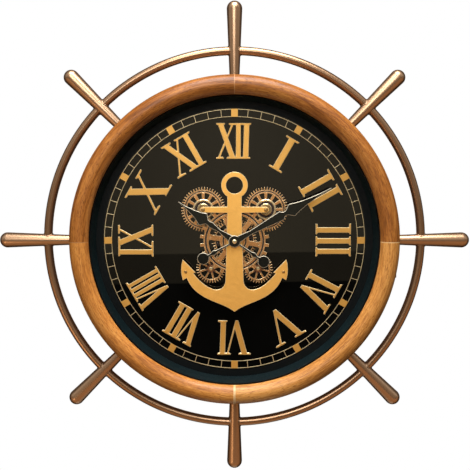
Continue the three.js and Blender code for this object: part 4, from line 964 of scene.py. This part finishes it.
fluke_pillar = [
    (0.0, DIAL_BACK), (2.2, DIAL_BACK), (2.2, DIAL_FRONT), (4.0, DIAL_FRONT), (4.0, ANCHOR_BACK),
    (1.6, ANCHOR_BACK), (1.6, HOLE_BACK), (0.0, HOLE_BACK),
]
posts = (
    ("shouldered_post", "upper_post", upper_post, 56, post_brass, "brass", (UPPER_PLACE, UPPER_PLACE)),
    ("headed_post", "lower_post", lower_post, 40, bright_ring, "gears", LOWER_PLACE),
    ("fluke_pillar", "fluke_standoff", fluke_pillar, 40, brass, "brass", FLUKE_PLACE),
)
for name, side in (("left", -1), ("right", 1)):
    for piece, node, profile, steps, finish, slot, (across, up) in posts:
        turned_piece(
            f"{piece}_{name}", profile, steps, finish, "case", f"{node}_{name}",
            side * across, up, TURNED_CREASE,
        )
shape = bmesh.new()
sheet(shape, [centre_teeth, circle(ARBOR_BORE, 40)], DRIVE_BACK, 23.2, 0.15)
turn(shape, [
    (ARBOR_BORE, DRIVE_BACK), (8.2, DRIVE_BACK), (8.2, 35.2), (8.0, 35.4), (ARBOR_BORE, 35.4),
], 48, closed=True)
keep("drive_arbor", shape, [brass], "gear_train", ["gear_arbor"], TURNED_CREASE)

# Anchor
# A flat anchor cut from gold-plated sheet, in front of the gears. Two screws hold the ends of its stock
# to the upper posts and two hold its flukes to their pillars.
ANCHOR_FRONT = 40.0
ANCHOR_EDGE = 0.6
RING_HEIGHT = 82.0
RING_RADIUS = 19.5
SHANK_HALF = 10.6
STOCK_HALF = 4.6
STOCK_END = 4.2
CROWN_HALF = 13.4
SCREW_FRONT = 41.2
SCREW_HOLLOW = 40.6
gold = mottled("satin_gold", (0.91, 0.47, 0.102), (0.95, 0.505, 0.12), 0.05, 0.65, 0.4, 0.04)


def bezier(first, second, third, fourth, steps):
    points = []
    for step in range(steps + 1):
        share = step / steps
        rest = 1.0 - share
        weights = (rest ** 3, 3 * rest ** 2 * share, 3 * rest * share ** 2, share ** 3)
        knots = (first, second, third, fourth)
        points.append((
            sum(weight * knot[0] for weight, knot in zip(weights, knots)),
            sum(weight * knot[1] for weight, knot in zip(weights, knots)),
        ))
    return points


half_anchor = []
neck = math.asin(SHANK_HALF / RING_RADIUS)
for step in range(41):
    angle = math.pi / 2 - step / 40 * (math.pi - neck)
    half_anchor.append((RING_RADIUS * math.cos(angle), RING_HEIGHT + RING_RADIUS * math.sin(angle)))
half_anchor.append((SHANK_HALF, UPPER_PLACE + STOCK_HALF))
for step in range(17):
    angle = math.pi / 2 - step / 16 * math.pi
    half_anchor.append(
        (UPPER_PLACE + STOCK_END * math.cos(angle), UPPER_PLACE + STOCK_END * math.sin(angle))
    )
half_anchor.append((SHANK_HALF, UPPER_PLACE - STOCK_HALF))
fluke_x, fluke_z = FLUKE_PLACE
half_anchor += bezier((CROWN_HALF, -59.1), (CROWN_HALF + 2.6, -77.8), (37.0, -77.8), (60.6, -47.9), 28)
half_anchor += [(57.2, -46.6), (76.2, -27.0), (78.0, -33.5), (78.8, -41.9), (78.2, -50.0), (76.2, -58.0)]
half_anchor += bezier((70.3, -54.6), (57.2, -89.0), (RING_RADIUS, -89.0), (0.0, -105.2), 36)
other_half = [(-across, up) for across, up in reversed(half_anchor[1:-1])]
anchor_cuts = [half_anchor + other_half, circle(12.3, 64, 0.0, RING_HEIGHT), circle(6.9, 40)]
for side in (-1, 1):
    anchor_cuts.append(circle(1.8, 20, side * UPPER_PLACE, UPPER_PLACE))
    anchor_cuts.append(circle(1.5, 20, side * fluke_x, fluke_z))
shape = bmesh.new()
sheet(shape, anchor_cuts, ANCHOR_BACK, ANCHOR_FRONT, ANCHOR_EDGE)
paint_edge_highlights(shape, 1)
keep("flat_anchor", shape, [gold, gold_edge_highlight], "case", ["anchor_plate"], SHEET_CREASE)

screw_brass = mottled("screw_brass", (0.30, 0.17, 0.06), (0.42, 0.26, 0.10), 0.006, 0.8, 0.32, 0.04)
anchor_screws = (
    ("stock_screw", UPPER_PLACE, UPPER_PLACE, 3.0, 1.5), ("fluke_screw", fluke_x, fluke_z, 2.3, 1.2),
)
for name, side in (("left", -1), ("right", 1)):
    for screw, across, up, head, shank in anchor_screws:
        turned_piece(f"domed_{screw}_{name}", [
            (0.0, 34.0), (shank, 34.0), (shank, ANCHOR_FRONT), (head, ANCHOR_FRONT), (head, 40.5),
            (head * 0.86, 40.95), (head * 0.5, SCREW_FRONT), (head * 0.3, SCREW_FRONT),
            (head * 0.3, SCREW_HOLLOW), (0.0, SCREW_HOLLOW),
        ], 32, screw_brass, "case", f"{screw}_{name}", side * across, up, TURNED_CREASE)

# Hands
# Hour and minute hand stamped from thin steel, lacquered glossy black, with polished bevels along their edges
# whose pale colour is partly painted highlight. Thin collared tails end in round counterweights, and a small
# domed nut holds them on the arbor.
HOUR_BACK = 42.1
HOUR_FRONT = 43.3
MINUTE_BACK = 44.2
MINUTE_FRONT = 45.4
HAND_BOSS = 8.8
HAND_POINT = 0.7
NOTCH_HALF = 3.4
TAIL_REACH = 52.3
TAIL_RADIUS = 8.8
TAIL_HALF = 1.3
TAIL_COLLAR = [(30.0, 2.0), (34.6, 3.8), (39.6, 1.8)]
BEVEL_WIDTH = 0.75
BEVEL_SLOPE = 0.6
hand_black = mottled("hand_lacquer", (0.005, 0.0055, 0.0045), (0.008, 0.0085, 0.007), 0.03, 0.0, 0.08, 0.02)
# The bevels' pale cream is partly the polished metal and partly a painted highlight along the edges
hand_bevel_and_highlight = mottled("hand_bevel_and_highlight", (0.46, 0.39, 0.29), (0.52, 0.45, 0.34), 0.01, 0.3, 0.45, 0.02)


def hand_outline(length, waist, collar, leaf):
    # Outlines a hand that points along x, from places and half widths of its swellings
    waist_at, waist_half = waist
    collar_at, collar_half = collar
    leaf_at, leaf_half = leaf
    notch_at = (collar_at + leaf_at) / 2
    reach = length - leaf_at
    join = math.radians(35.0)
    upper = [
        (leaf_at + reach * 0.68, leaf_half * 0.165),
        (leaf_at + reach * 0.35, leaf_half * 0.42),
        (leaf_at + reach * 0.15, leaf_half * 0.69),
        (leaf_at + reach * 0.06, leaf_half * 0.86),
        (leaf_at, leaf_half),
        ((leaf_at + notch_at) / 2, (leaf_half + NOTCH_HALF) / 2),
        (notch_at, NOTCH_HALF),
        ((collar_at + notch_at) / 2, NOTCH_HALF),
        (collar_at, collar_half),
        ((collar_at + waist_at) / 2, (collar_half + waist_half) / 2),
        (waist_at, waist_half),
    ]
    boss_end = math.pi - math.asin(TAIL_HALF / HAND_BOSS)
    for step in range(13):
        angle = join + step / 12 * (boss_end - join)
        upper.append((HAND_BOSS * math.cos(angle), HAND_BOSS * math.sin(angle)))
    upper += [(-along, half) for along, half in TAIL_COLLAR]
    ball_start = math.asin(TAIL_COLLAR[-1][1] / TAIL_RADIUS)
    for step in range(17):
        angle = ball_start + step / 16 * (math.pi - ball_start) * 0.97
        upper.append((-TAIL_REACH + TAIL_RADIUS * math.cos(angle), TAIL_RADIUS * math.sin(angle)))
    lower = [(across, -up) for across, up in reversed(upper)]
    point = [(length, -HAND_POINT), (length, HAND_POINT)]
    return point + eased(point[1:] + upper + lower, 1.6, 3)[4:]


def bevel_width(across, up):
    # Narrows the bevel where the blade runs thin
    if across < HAND_BOSS:
        return BEVEL_WIDTH
    return min(BEVEL_WIDTH, max(abs(up) * 0.55, 0.1))


def drawn_in(points):
    # Moves an outline inwards by the width of the bevel
    inner = []
    for index, (across, up) in enumerate(points):
        along = Vector(points[(index + 1) % len(points)]) - Vector(points[index - 1])
        along.normalize()
        width = bevel_width(across, up)
        inner.append((across - along.y * width, up + along.x * width))
    return inner


def hand(name, points, bore, pointing, back, front):
    part = bmesh.new()

    def ring(loop, levels):
        corners = []
        for (across, up), level in zip(loop, levels):
            corners.append(part.verts.new((across * MM, up * MM, (level - back) * MM)))
        return [part.edges.new(pair) for pair in zip(corners, corners[1:] + corners[:1])]

    hole = circle(bore, 32)
    under = ring(points, [back] * len(points))
    outer = ring(points, [front - bevel_width(*point) * BEVEL_SLOPE for point in points])
    inner = ring(drawn_in(points), [front] * len(points))
    hole_back = ring(hole, [back] * len(hole))
    hole_front = ring(hole, [front] * len(hole))
    bmesh.ops.triangle_fill(part, edges=inner + hole_front, use_beauty=True)
    bmesh.ops.triangle_fill(part, edges=under + hole_back, use_beauty=True)
    bmesh.ops.bridge_loops(part, edges=hole_back + hole_front)
    bmesh.ops.bridge_loops(part, edges=under + outer)
    bevel = bmesh.ops.bridge_loops(part, edges=outer + inner)
    for face in bevel["faces"]:
        face.material_index = 1
    standing = Matrix.Rotation(-pointing, 4, "Y") @ Matrix.Rotation(math.pi / 2, 4, "X")
    place = Matrix.Translation((0.0, -back * MM, 0.0))
    bmesh.ops.transform(part, matrix=place @ standing, verts=part.verts)
    shape = bmesh.new()
    absorb(shape, part)
    keep(f"{name}_blade", shape, [hand_black, hand_bevel_and_highlight], name, [name], SHEET_CREASE)


hour_points = hand_outline(100.3, (27.0, 2.2), (42.4, 4.6), (56.4, 10.8))
hand("hour_hand", hour_points, 4.6, math.radians(144.9), HOUR_BACK, HOUR_FRONT)
minute_points = hand_outline(161.2, (28.0, 3.0), (78.5, 7.0), (95.5, 10.0))
hand("minute_hand", minute_points, 2.6, math.radians(28.9), MINUTE_BACK, MINUTE_FRONT)
shape = bmesh.new()
turn(shape, [
    (2.55, 46.7), (2.55, MINUTE_FRONT), (3.4, MINUTE_FRONT), (3.4, 46.9), (3.0, 47.5), (2.2, 47.9),
    (1.2, 48.0), (0.0, 48.0),
], 40)
turn(shape, [(0.0, 46.75), (2.55, 46.75)], 40)
keep("domed_nut", shape, [bright_ring], "minute_hand", ["hand_nut"], TURNED_CREASE)

# Wooden bezel
# A half-round ring of four curved lengths of wood glued end to end, with the grain along the ring. The
# glued joints show as thin lines, and the whole is varnished.
WOOD_BACK = 34.0
WOOD_INNER = 212.0
WOOD_OUTER = 240.8
WOOD_REBATE = 217.1
WOOD_CROWN = 64.5
WOOD_SHOULDER = 49.5
GLASS_FRONT = 52.0
wood_middle = (WOOD_INNER + WOOD_OUTER) / 2
wood_half = (WOOD_OUTER - WOOD_INNER) / 2


def varnished_wood(name, offset, dark, middle, light):
    # Makes wood whose streaks, figure and pores run along the ring
    material, tree, shader = new_material(name)
    place = add_node(tree, "TexCoord").outputs["Object"]
    parts = add_node(tree, "SeparateXYZ", {"Vector": place})
    heading = add_node(tree, "Math", {0: parts.outputs["X"], 1: parts.outputs["Z"]}, operation="ARCTAN2")
    arc = add_node(tree, "Math", {0: heading, 1: wood_middle * MM, 2: offset}, operation="MULTIPLY_ADD")
    _, reach = flat_reach(tree, place)
    along = add_node(tree, "CombineXYZ", {"X": arc, "Y": parts.outputs["Y"], "Z": reach})
    drawn = add_node(tree, "Mapping", {"Vector": along, "Scale": (42.0, 560.0, 560.0)})
    streak = add_node(tree, "TexNoise", {"Vector": drawn, "Scale": 1.0, "Detail": 4.0, "Roughness": 0.6})
    wide = add_node(tree, "Mapping", {"Vector": along, "Scale": (9.0, 95.0, 95.0)})
    figure = add_node(tree, "TexNoise", {"Vector": wide, "Scale": 1.0, "Detail": 2.0, "Distortion": 0.8})
    patch = add_node(tree, "TexNoise", {"Vector": along, "Scale": 9.0, "Detail": 2.0})
    total = 0.0
    for pattern, weight in ((streak, 0.48), (figure, 0.35), (patch, 0.17)):
        total = add_node(tree, "Math", {0: pattern, 1: weight, 2: total}, operation="MULTIPLY_ADD")
    tone = add_node(tree, "ValToRGB", {"Fac": total})
    set_ramp(tone, [(0.38, dark), (0.5, middle), (0.62, light)])
    short = add_node(tree, "Mapping", {"Vector": along, "Scale": (150.0, 1300.0, 1300.0)})
    pore = add_node(tree, "TexNoise", {"Vector": short, "Scale": 1.0, "Detail": 1.0})
    depth = add_node(tree, "MapRange", {"Value": pore, "From Min": 0.58, "From Max": 0.68})
    filled = add_node(tree, "MixRGB", {"Fac": depth, "Color1": tone, "Color2": (*dark, 1.0)})
    gloss = add_node(tree, "MapRange", {
        "Value": streak, "From Min": 0.3, "From Max": 0.7, "To Min": 0.5, "To Max": 0.38,
    })
    relief = add_node(tree, "Bump", {"Height": streak, "Strength": 0.06, "Distance": 0.0004})
    set_inputs(tree, shader, {
        "Specular IOR Level": 0.16, "Coat Weight": 0.24, "Coat Roughness": 0.3,
        "Base Color": filled, "Roughness": gloss, "Normal": relief,
    })
    return material


wood_profile = [
    (WOOD_REBATE, WOOD_BACK), (WOOD_OUTER - 2.0, WOOD_BACK), (WOOD_OUTER - 0.6, WOOD_BACK + 0.6),
    (WOOD_OUTER, WOOD_BACK + 2.0),
]
for step in range(33):
    angle = step / 32 * math.pi
    foot = WOOD_SHOULDER if step < 16 else GLASS_FRONT
    wood_profile.append(
        (wood_middle + wood_half * math.cos(angle), foot + (WOOD_CROWN - foot) * math.sin(angle))
    )
wood_profile.append((WOOD_REBATE, GLASS_FRONT))


def bezel_stretch(profile, first, last, steps):
    # Sweeps the bezel's profile from one angle to another
    part = bmesh.new()
    points = [part.verts.new((0.0, -depth * MM, radius * MM)) for radius, depth in profile]
    edges = [part.edges.new(pair) for pair in zip(points, points[1:] + points[:1])]
    bmesh.ops.rotate(part, verts=points, matrix=Matrix.Rotation(first, 3, "Y"))
    bmesh.ops.spin(
        part, geom=points + edges, cent=(0.0, 0.0, 0.0), axis=(0.0, 1.0, 0.0), angle=last - first, steps=steps
    )
    bmesh.ops.holes_fill(part, edges=[edge for edge in part.edges if edge.is_boundary])
    shape = bmesh.new()
    absorb(shape, part)
    return shape


# Dark, middle and light tone of each quarter's wood. The two upper quarters are darker and the two lower
# lighter, partly the pieces' own tone and partly painted shade and light for light from above
QUARTER_TONES_AND_SHADE = [
    ((0.15, 0.044, 0.007), (0.31, 0.105, 0.018), (0.44, 0.178, 0.036)),
    ((0.26, 0.092, 0.017), (0.49, 0.202, 0.042), (0.63, 0.305, 0.082)),
    ((0.24, 0.076, 0.012), (0.45, 0.166, 0.029), (0.58, 0.255, 0.058)),
    ((0.13, 0.038, 0.006), (0.29, 0.095, 0.015), (0.42, 0.160, 0.032)),
]
dark_glue = mottled("dark_glue", (0.33, 0.14, 0.04), (0.41, 0.19, 0.065), 0.004, 0.0, 0.5)
pale_glue = mottled("pale_glue", (0.58, 0.34, 0.14), (0.69, 0.45, 0.21), 0.004, 0.0, 0.5)
# Half width of each joint in degrees, and its glue
JOINTS = [(0.14, dark_glue), (0.17, pale_glue), (0.42, pale_glue), (0.12, dark_glue)]
for number, tones in enumerate(QUARTER_TONES_AND_SHADE):
    width, glue = JOINTS[number]
    next_width = JOINTS[(number + 1) % len(JOINTS)][0]
    first = number * math.pi / 2 + math.radians(width)
    last = (number + 1) * math.pi / 2 - math.radians(next_width)
    wood = varnished_wood(f"bezel_wood_{number + 1}", 0.7 * number, *tones)
    shape = bezel_stretch(wood_profile, first, last, 48)
    keep(f"wood_quarter_{number + 1}", shape, [wood], "bezel_door", [f"wood_arc_{number + 1}"])
    shape = bezel_stretch(wood_profile, first - 2.0 * math.radians(width), first, 1)
    keep(f"glue_line_{number + 1}", shape, [glue], "bezel_door")

# Glass
# A flat pane of clear float glass in the bezel's rebate, held from behind by a black painted ring, with
# a small magnet let into the wood to hold the bezel shut.
GLASS_BACK = 49.0
GLASS_RADIUS = 216.8
GLASS_CHAMFER = 0.4
RETAINER_BACK = 46.3
RETAINER_INNER = 210.6
MAGNET_REACH = 229.0
MAGNET_ANGLE = math.radians(174.0)
clear_glass, glass_tree, glass_shader = new_material("clear_glass")
glass_place = add_node(glass_tree, "TexCoord").outputs["Object"]
glass_film = add_node(glass_tree, "TexNoise", {"Vector": glass_place, "Scale": 14.0, "Detail": 3.0})
glass_gloss = add_node(glass_tree, "MapRange", {
    "Value": glass_film, "From Min": 0.3, "From Max": 0.7, "To Min": 0.003, "To Max": 0.009,
})
set_inputs(glass_tree, glass_shader, {"Metallic": 1.0, "Base Color": white, "Roughness": glass_gloss})
glass_clear = add_node(glass_tree, "BsdfTransparent", {"Color": (0.985, 0.992, 0.988, 1.0)})
glass_tilt = add_node(glass_tree, "LayerWeight", {"Blend": 0.5})
glass_rise = add_node(glass_tree, "Math", {0: glass_tilt.outputs["Facing"], 1: 5.0}, operation="POWER")
glass_mix = add_node(glass_tree, "MixShader", {0: glass_rise, 1: glass_clear, 2: glass_shader})
set_inputs(glass_tree, glass_tree.nodes["Material Output"], {"Surface": glass_mix})
turned_piece("float_glass", [
    (0.0, GLASS_BACK), (GLASS_RADIUS - GLASS_CHAMFER, GLASS_BACK), (GLASS_RADIUS, GLASS_BACK + GLASS_CHAMFER),
    (GLASS_RADIUS, GLASS_FRONT - GLASS_CHAMFER), (GLASS_RADIUS - GLASS_CHAMFER, GLASS_FRONT),
    (0.0, GLASS_FRONT),
], 160, clear_glass, "bezel_door", "glass_pane", crease=20.0)

# The ring's near black is its black paint, darkened further as painted shade in the gap under the wood
retainer_black_and_shade = mottled(
    "retainer_black_and_shade", (0.002, 0.002, 0.002), (0.004, 0.004, 0.004), 0.02, 0.0, 0.6, specular=0.1
)
turned_piece("retaining_ring", [
    (RETAINER_INNER, RETAINER_BACK), (GLASS_RADIUS, RETAINER_BACK), (GLASS_RADIUS, GLASS_BACK),
    (RETAINER_INNER, GLASS_BACK),
], 160, retainer_black_and_shade, "bezel_door", "glass_retainer", edge=0.3, closed=True)

magnet_x, magnet_z = polar(MAGNET_REACH, MAGNET_ANGLE)
turned_piece("disc_magnet", [
    (0.0, WOOD_BACK), (4.6, WOOD_BACK), (5.0, 34.4), (5.0, 36.6), (4.6, 37.0), (0.0, 37.0),
], 40, zinc, "bezel_door", "catch_magnet", magnet_x, magnet_z, TURNED_CREASE)

# Hinge
# A small bronze-plated hinge of three knuckles behind the bezel's right edge, its case leaf on a block
# on the drum, its door leaf on the back of the wood, and a steel pin through both.


def dressed(node, name, material, body, edge):
    # Copies a plain solid, rounds its edges and gives it its finish
    shape = bmesh.new()
    shape.from_mesh(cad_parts[node].data)
    bmesh.ops.remove_doubles(shape, verts=shape.verts, dist=1e-6)
    bmesh.ops.dissolve_limit(shape, angle_limit=0.02, verts=shape.verts, edges=shape.edges)
    for face in shape.faces:
        face.material_index = 0
    keep(name, shape, [material], body, [node], 38.0, edge)


hinge_bronze = mottled("hinge_bronze", (0.035, 0.019, 0.010), (0.07, 0.038, 0.02), 0.01, 0.7, 0.42, bump=0.05)
dressed("hinge_case_leaf", "case_leaf", hinge_bronze, "case", 0.2)
dressed("hinge_door_leaf", "door_leaf", hinge_bronze, "bezel_door", 0.2)
dressed("hinge_pin", "steel_pin", zinc, "case", 0.15)

# Movement and gear motor
# A moulded quartz movement with a pipe and an arbor for the hands, and a moulded gear motor with its wheel,
# behind the dial. Each has one round cell in an open trough, and a hole in the cover bares the setting knob.
casing_black = mottled(
    "moulded_plastic", (0.012, 0.012, 0.012), (0.022, 0.022, 0.022), 0.01, 0.0, 0.5, bump=0.15
)
cell_sleeve = mottled("cell_sleeve", (0.030, 0.055, 0.040), (0.045, 0.075, 0.055), 0.02, 0.2, 0.32, 0.05)
dressed("movement_case", "movement_shell", casing_black, "case", 0.4)
dressed("motor_case", "motor_shell", casing_black, "case", 0.4)
dressed("motor_wheel", "cut_motor_wheel", brass, "motor_wheel", 0.1)
dressed("hour_pipe", "drawn_pipe", brass, "hour_hand", 0.15)
dressed("minute_arbor", "ground_arbor", zinc, "minute_hand", 0.15)

CELL_DEPTH = 10.4
cell_profile = [
    (0.0, -25.0), (5.6, -25.0), (6.6, -24.8), (7.1, -24.3), (7.1, 23.0), (6.6, 23.6), (5.4, 23.9),
    (2.75, 23.9), (2.75, 24.8), (2.5, 25.0), (0.0, 25.0),
]
lying = Matrix.Rotation(math.pi / 2, 4, "Z")
upright = Matrix.Rotation(-math.pi / 2, 4, "X")
for name, node, (x, z), attitude in (
    ("movement_cell", "movement_battery", MOVEMENT_CELL, lying),
    ("motor_cell", "motor_battery", MOTOR_CELL, upright),
):
    place = Matrix.Translation((x * MM, -CELL_DEPTH * MM, z * MM)) @ attitude
    shape = bmesh.new()
    turn(shape, cell_profile[3:5], 48, matrix=place)
    turn(shape, cell_profile[:4], 48, slot=1, matrix=place)
    turn(shape, cell_profile[4:], 48, slot=1, matrix=place)
    bmesh.ops.remove_doubles(shape, verts=shape.verts, dist=1e-6)
    keep(name, shape, [cell_sleeve, zinc], "case", [node], TURNED_CREASE)

shape = bmesh.new()
sheet(shape, [toothed(36, 8.0, 7.6, 0.2, 0.3, 0.0)], 0.6, 2.7, 0.25, 0, 0.0, KNOB_HEIGHT)
turn(shape, [(2.0, 2.6), (2.0, 7.0), (0.0, 7.0)], 24, 0.0, KNOB_HEIGHT)
turn(shape, [(0.0, 2.6), (2.0, 2.6)], 24, 0.0, KNOB_HEIGHT)
keep("ribbed_knob", shape, [casing_black], "setting_knob", ["setting_knob"], SHEET_CREASE)
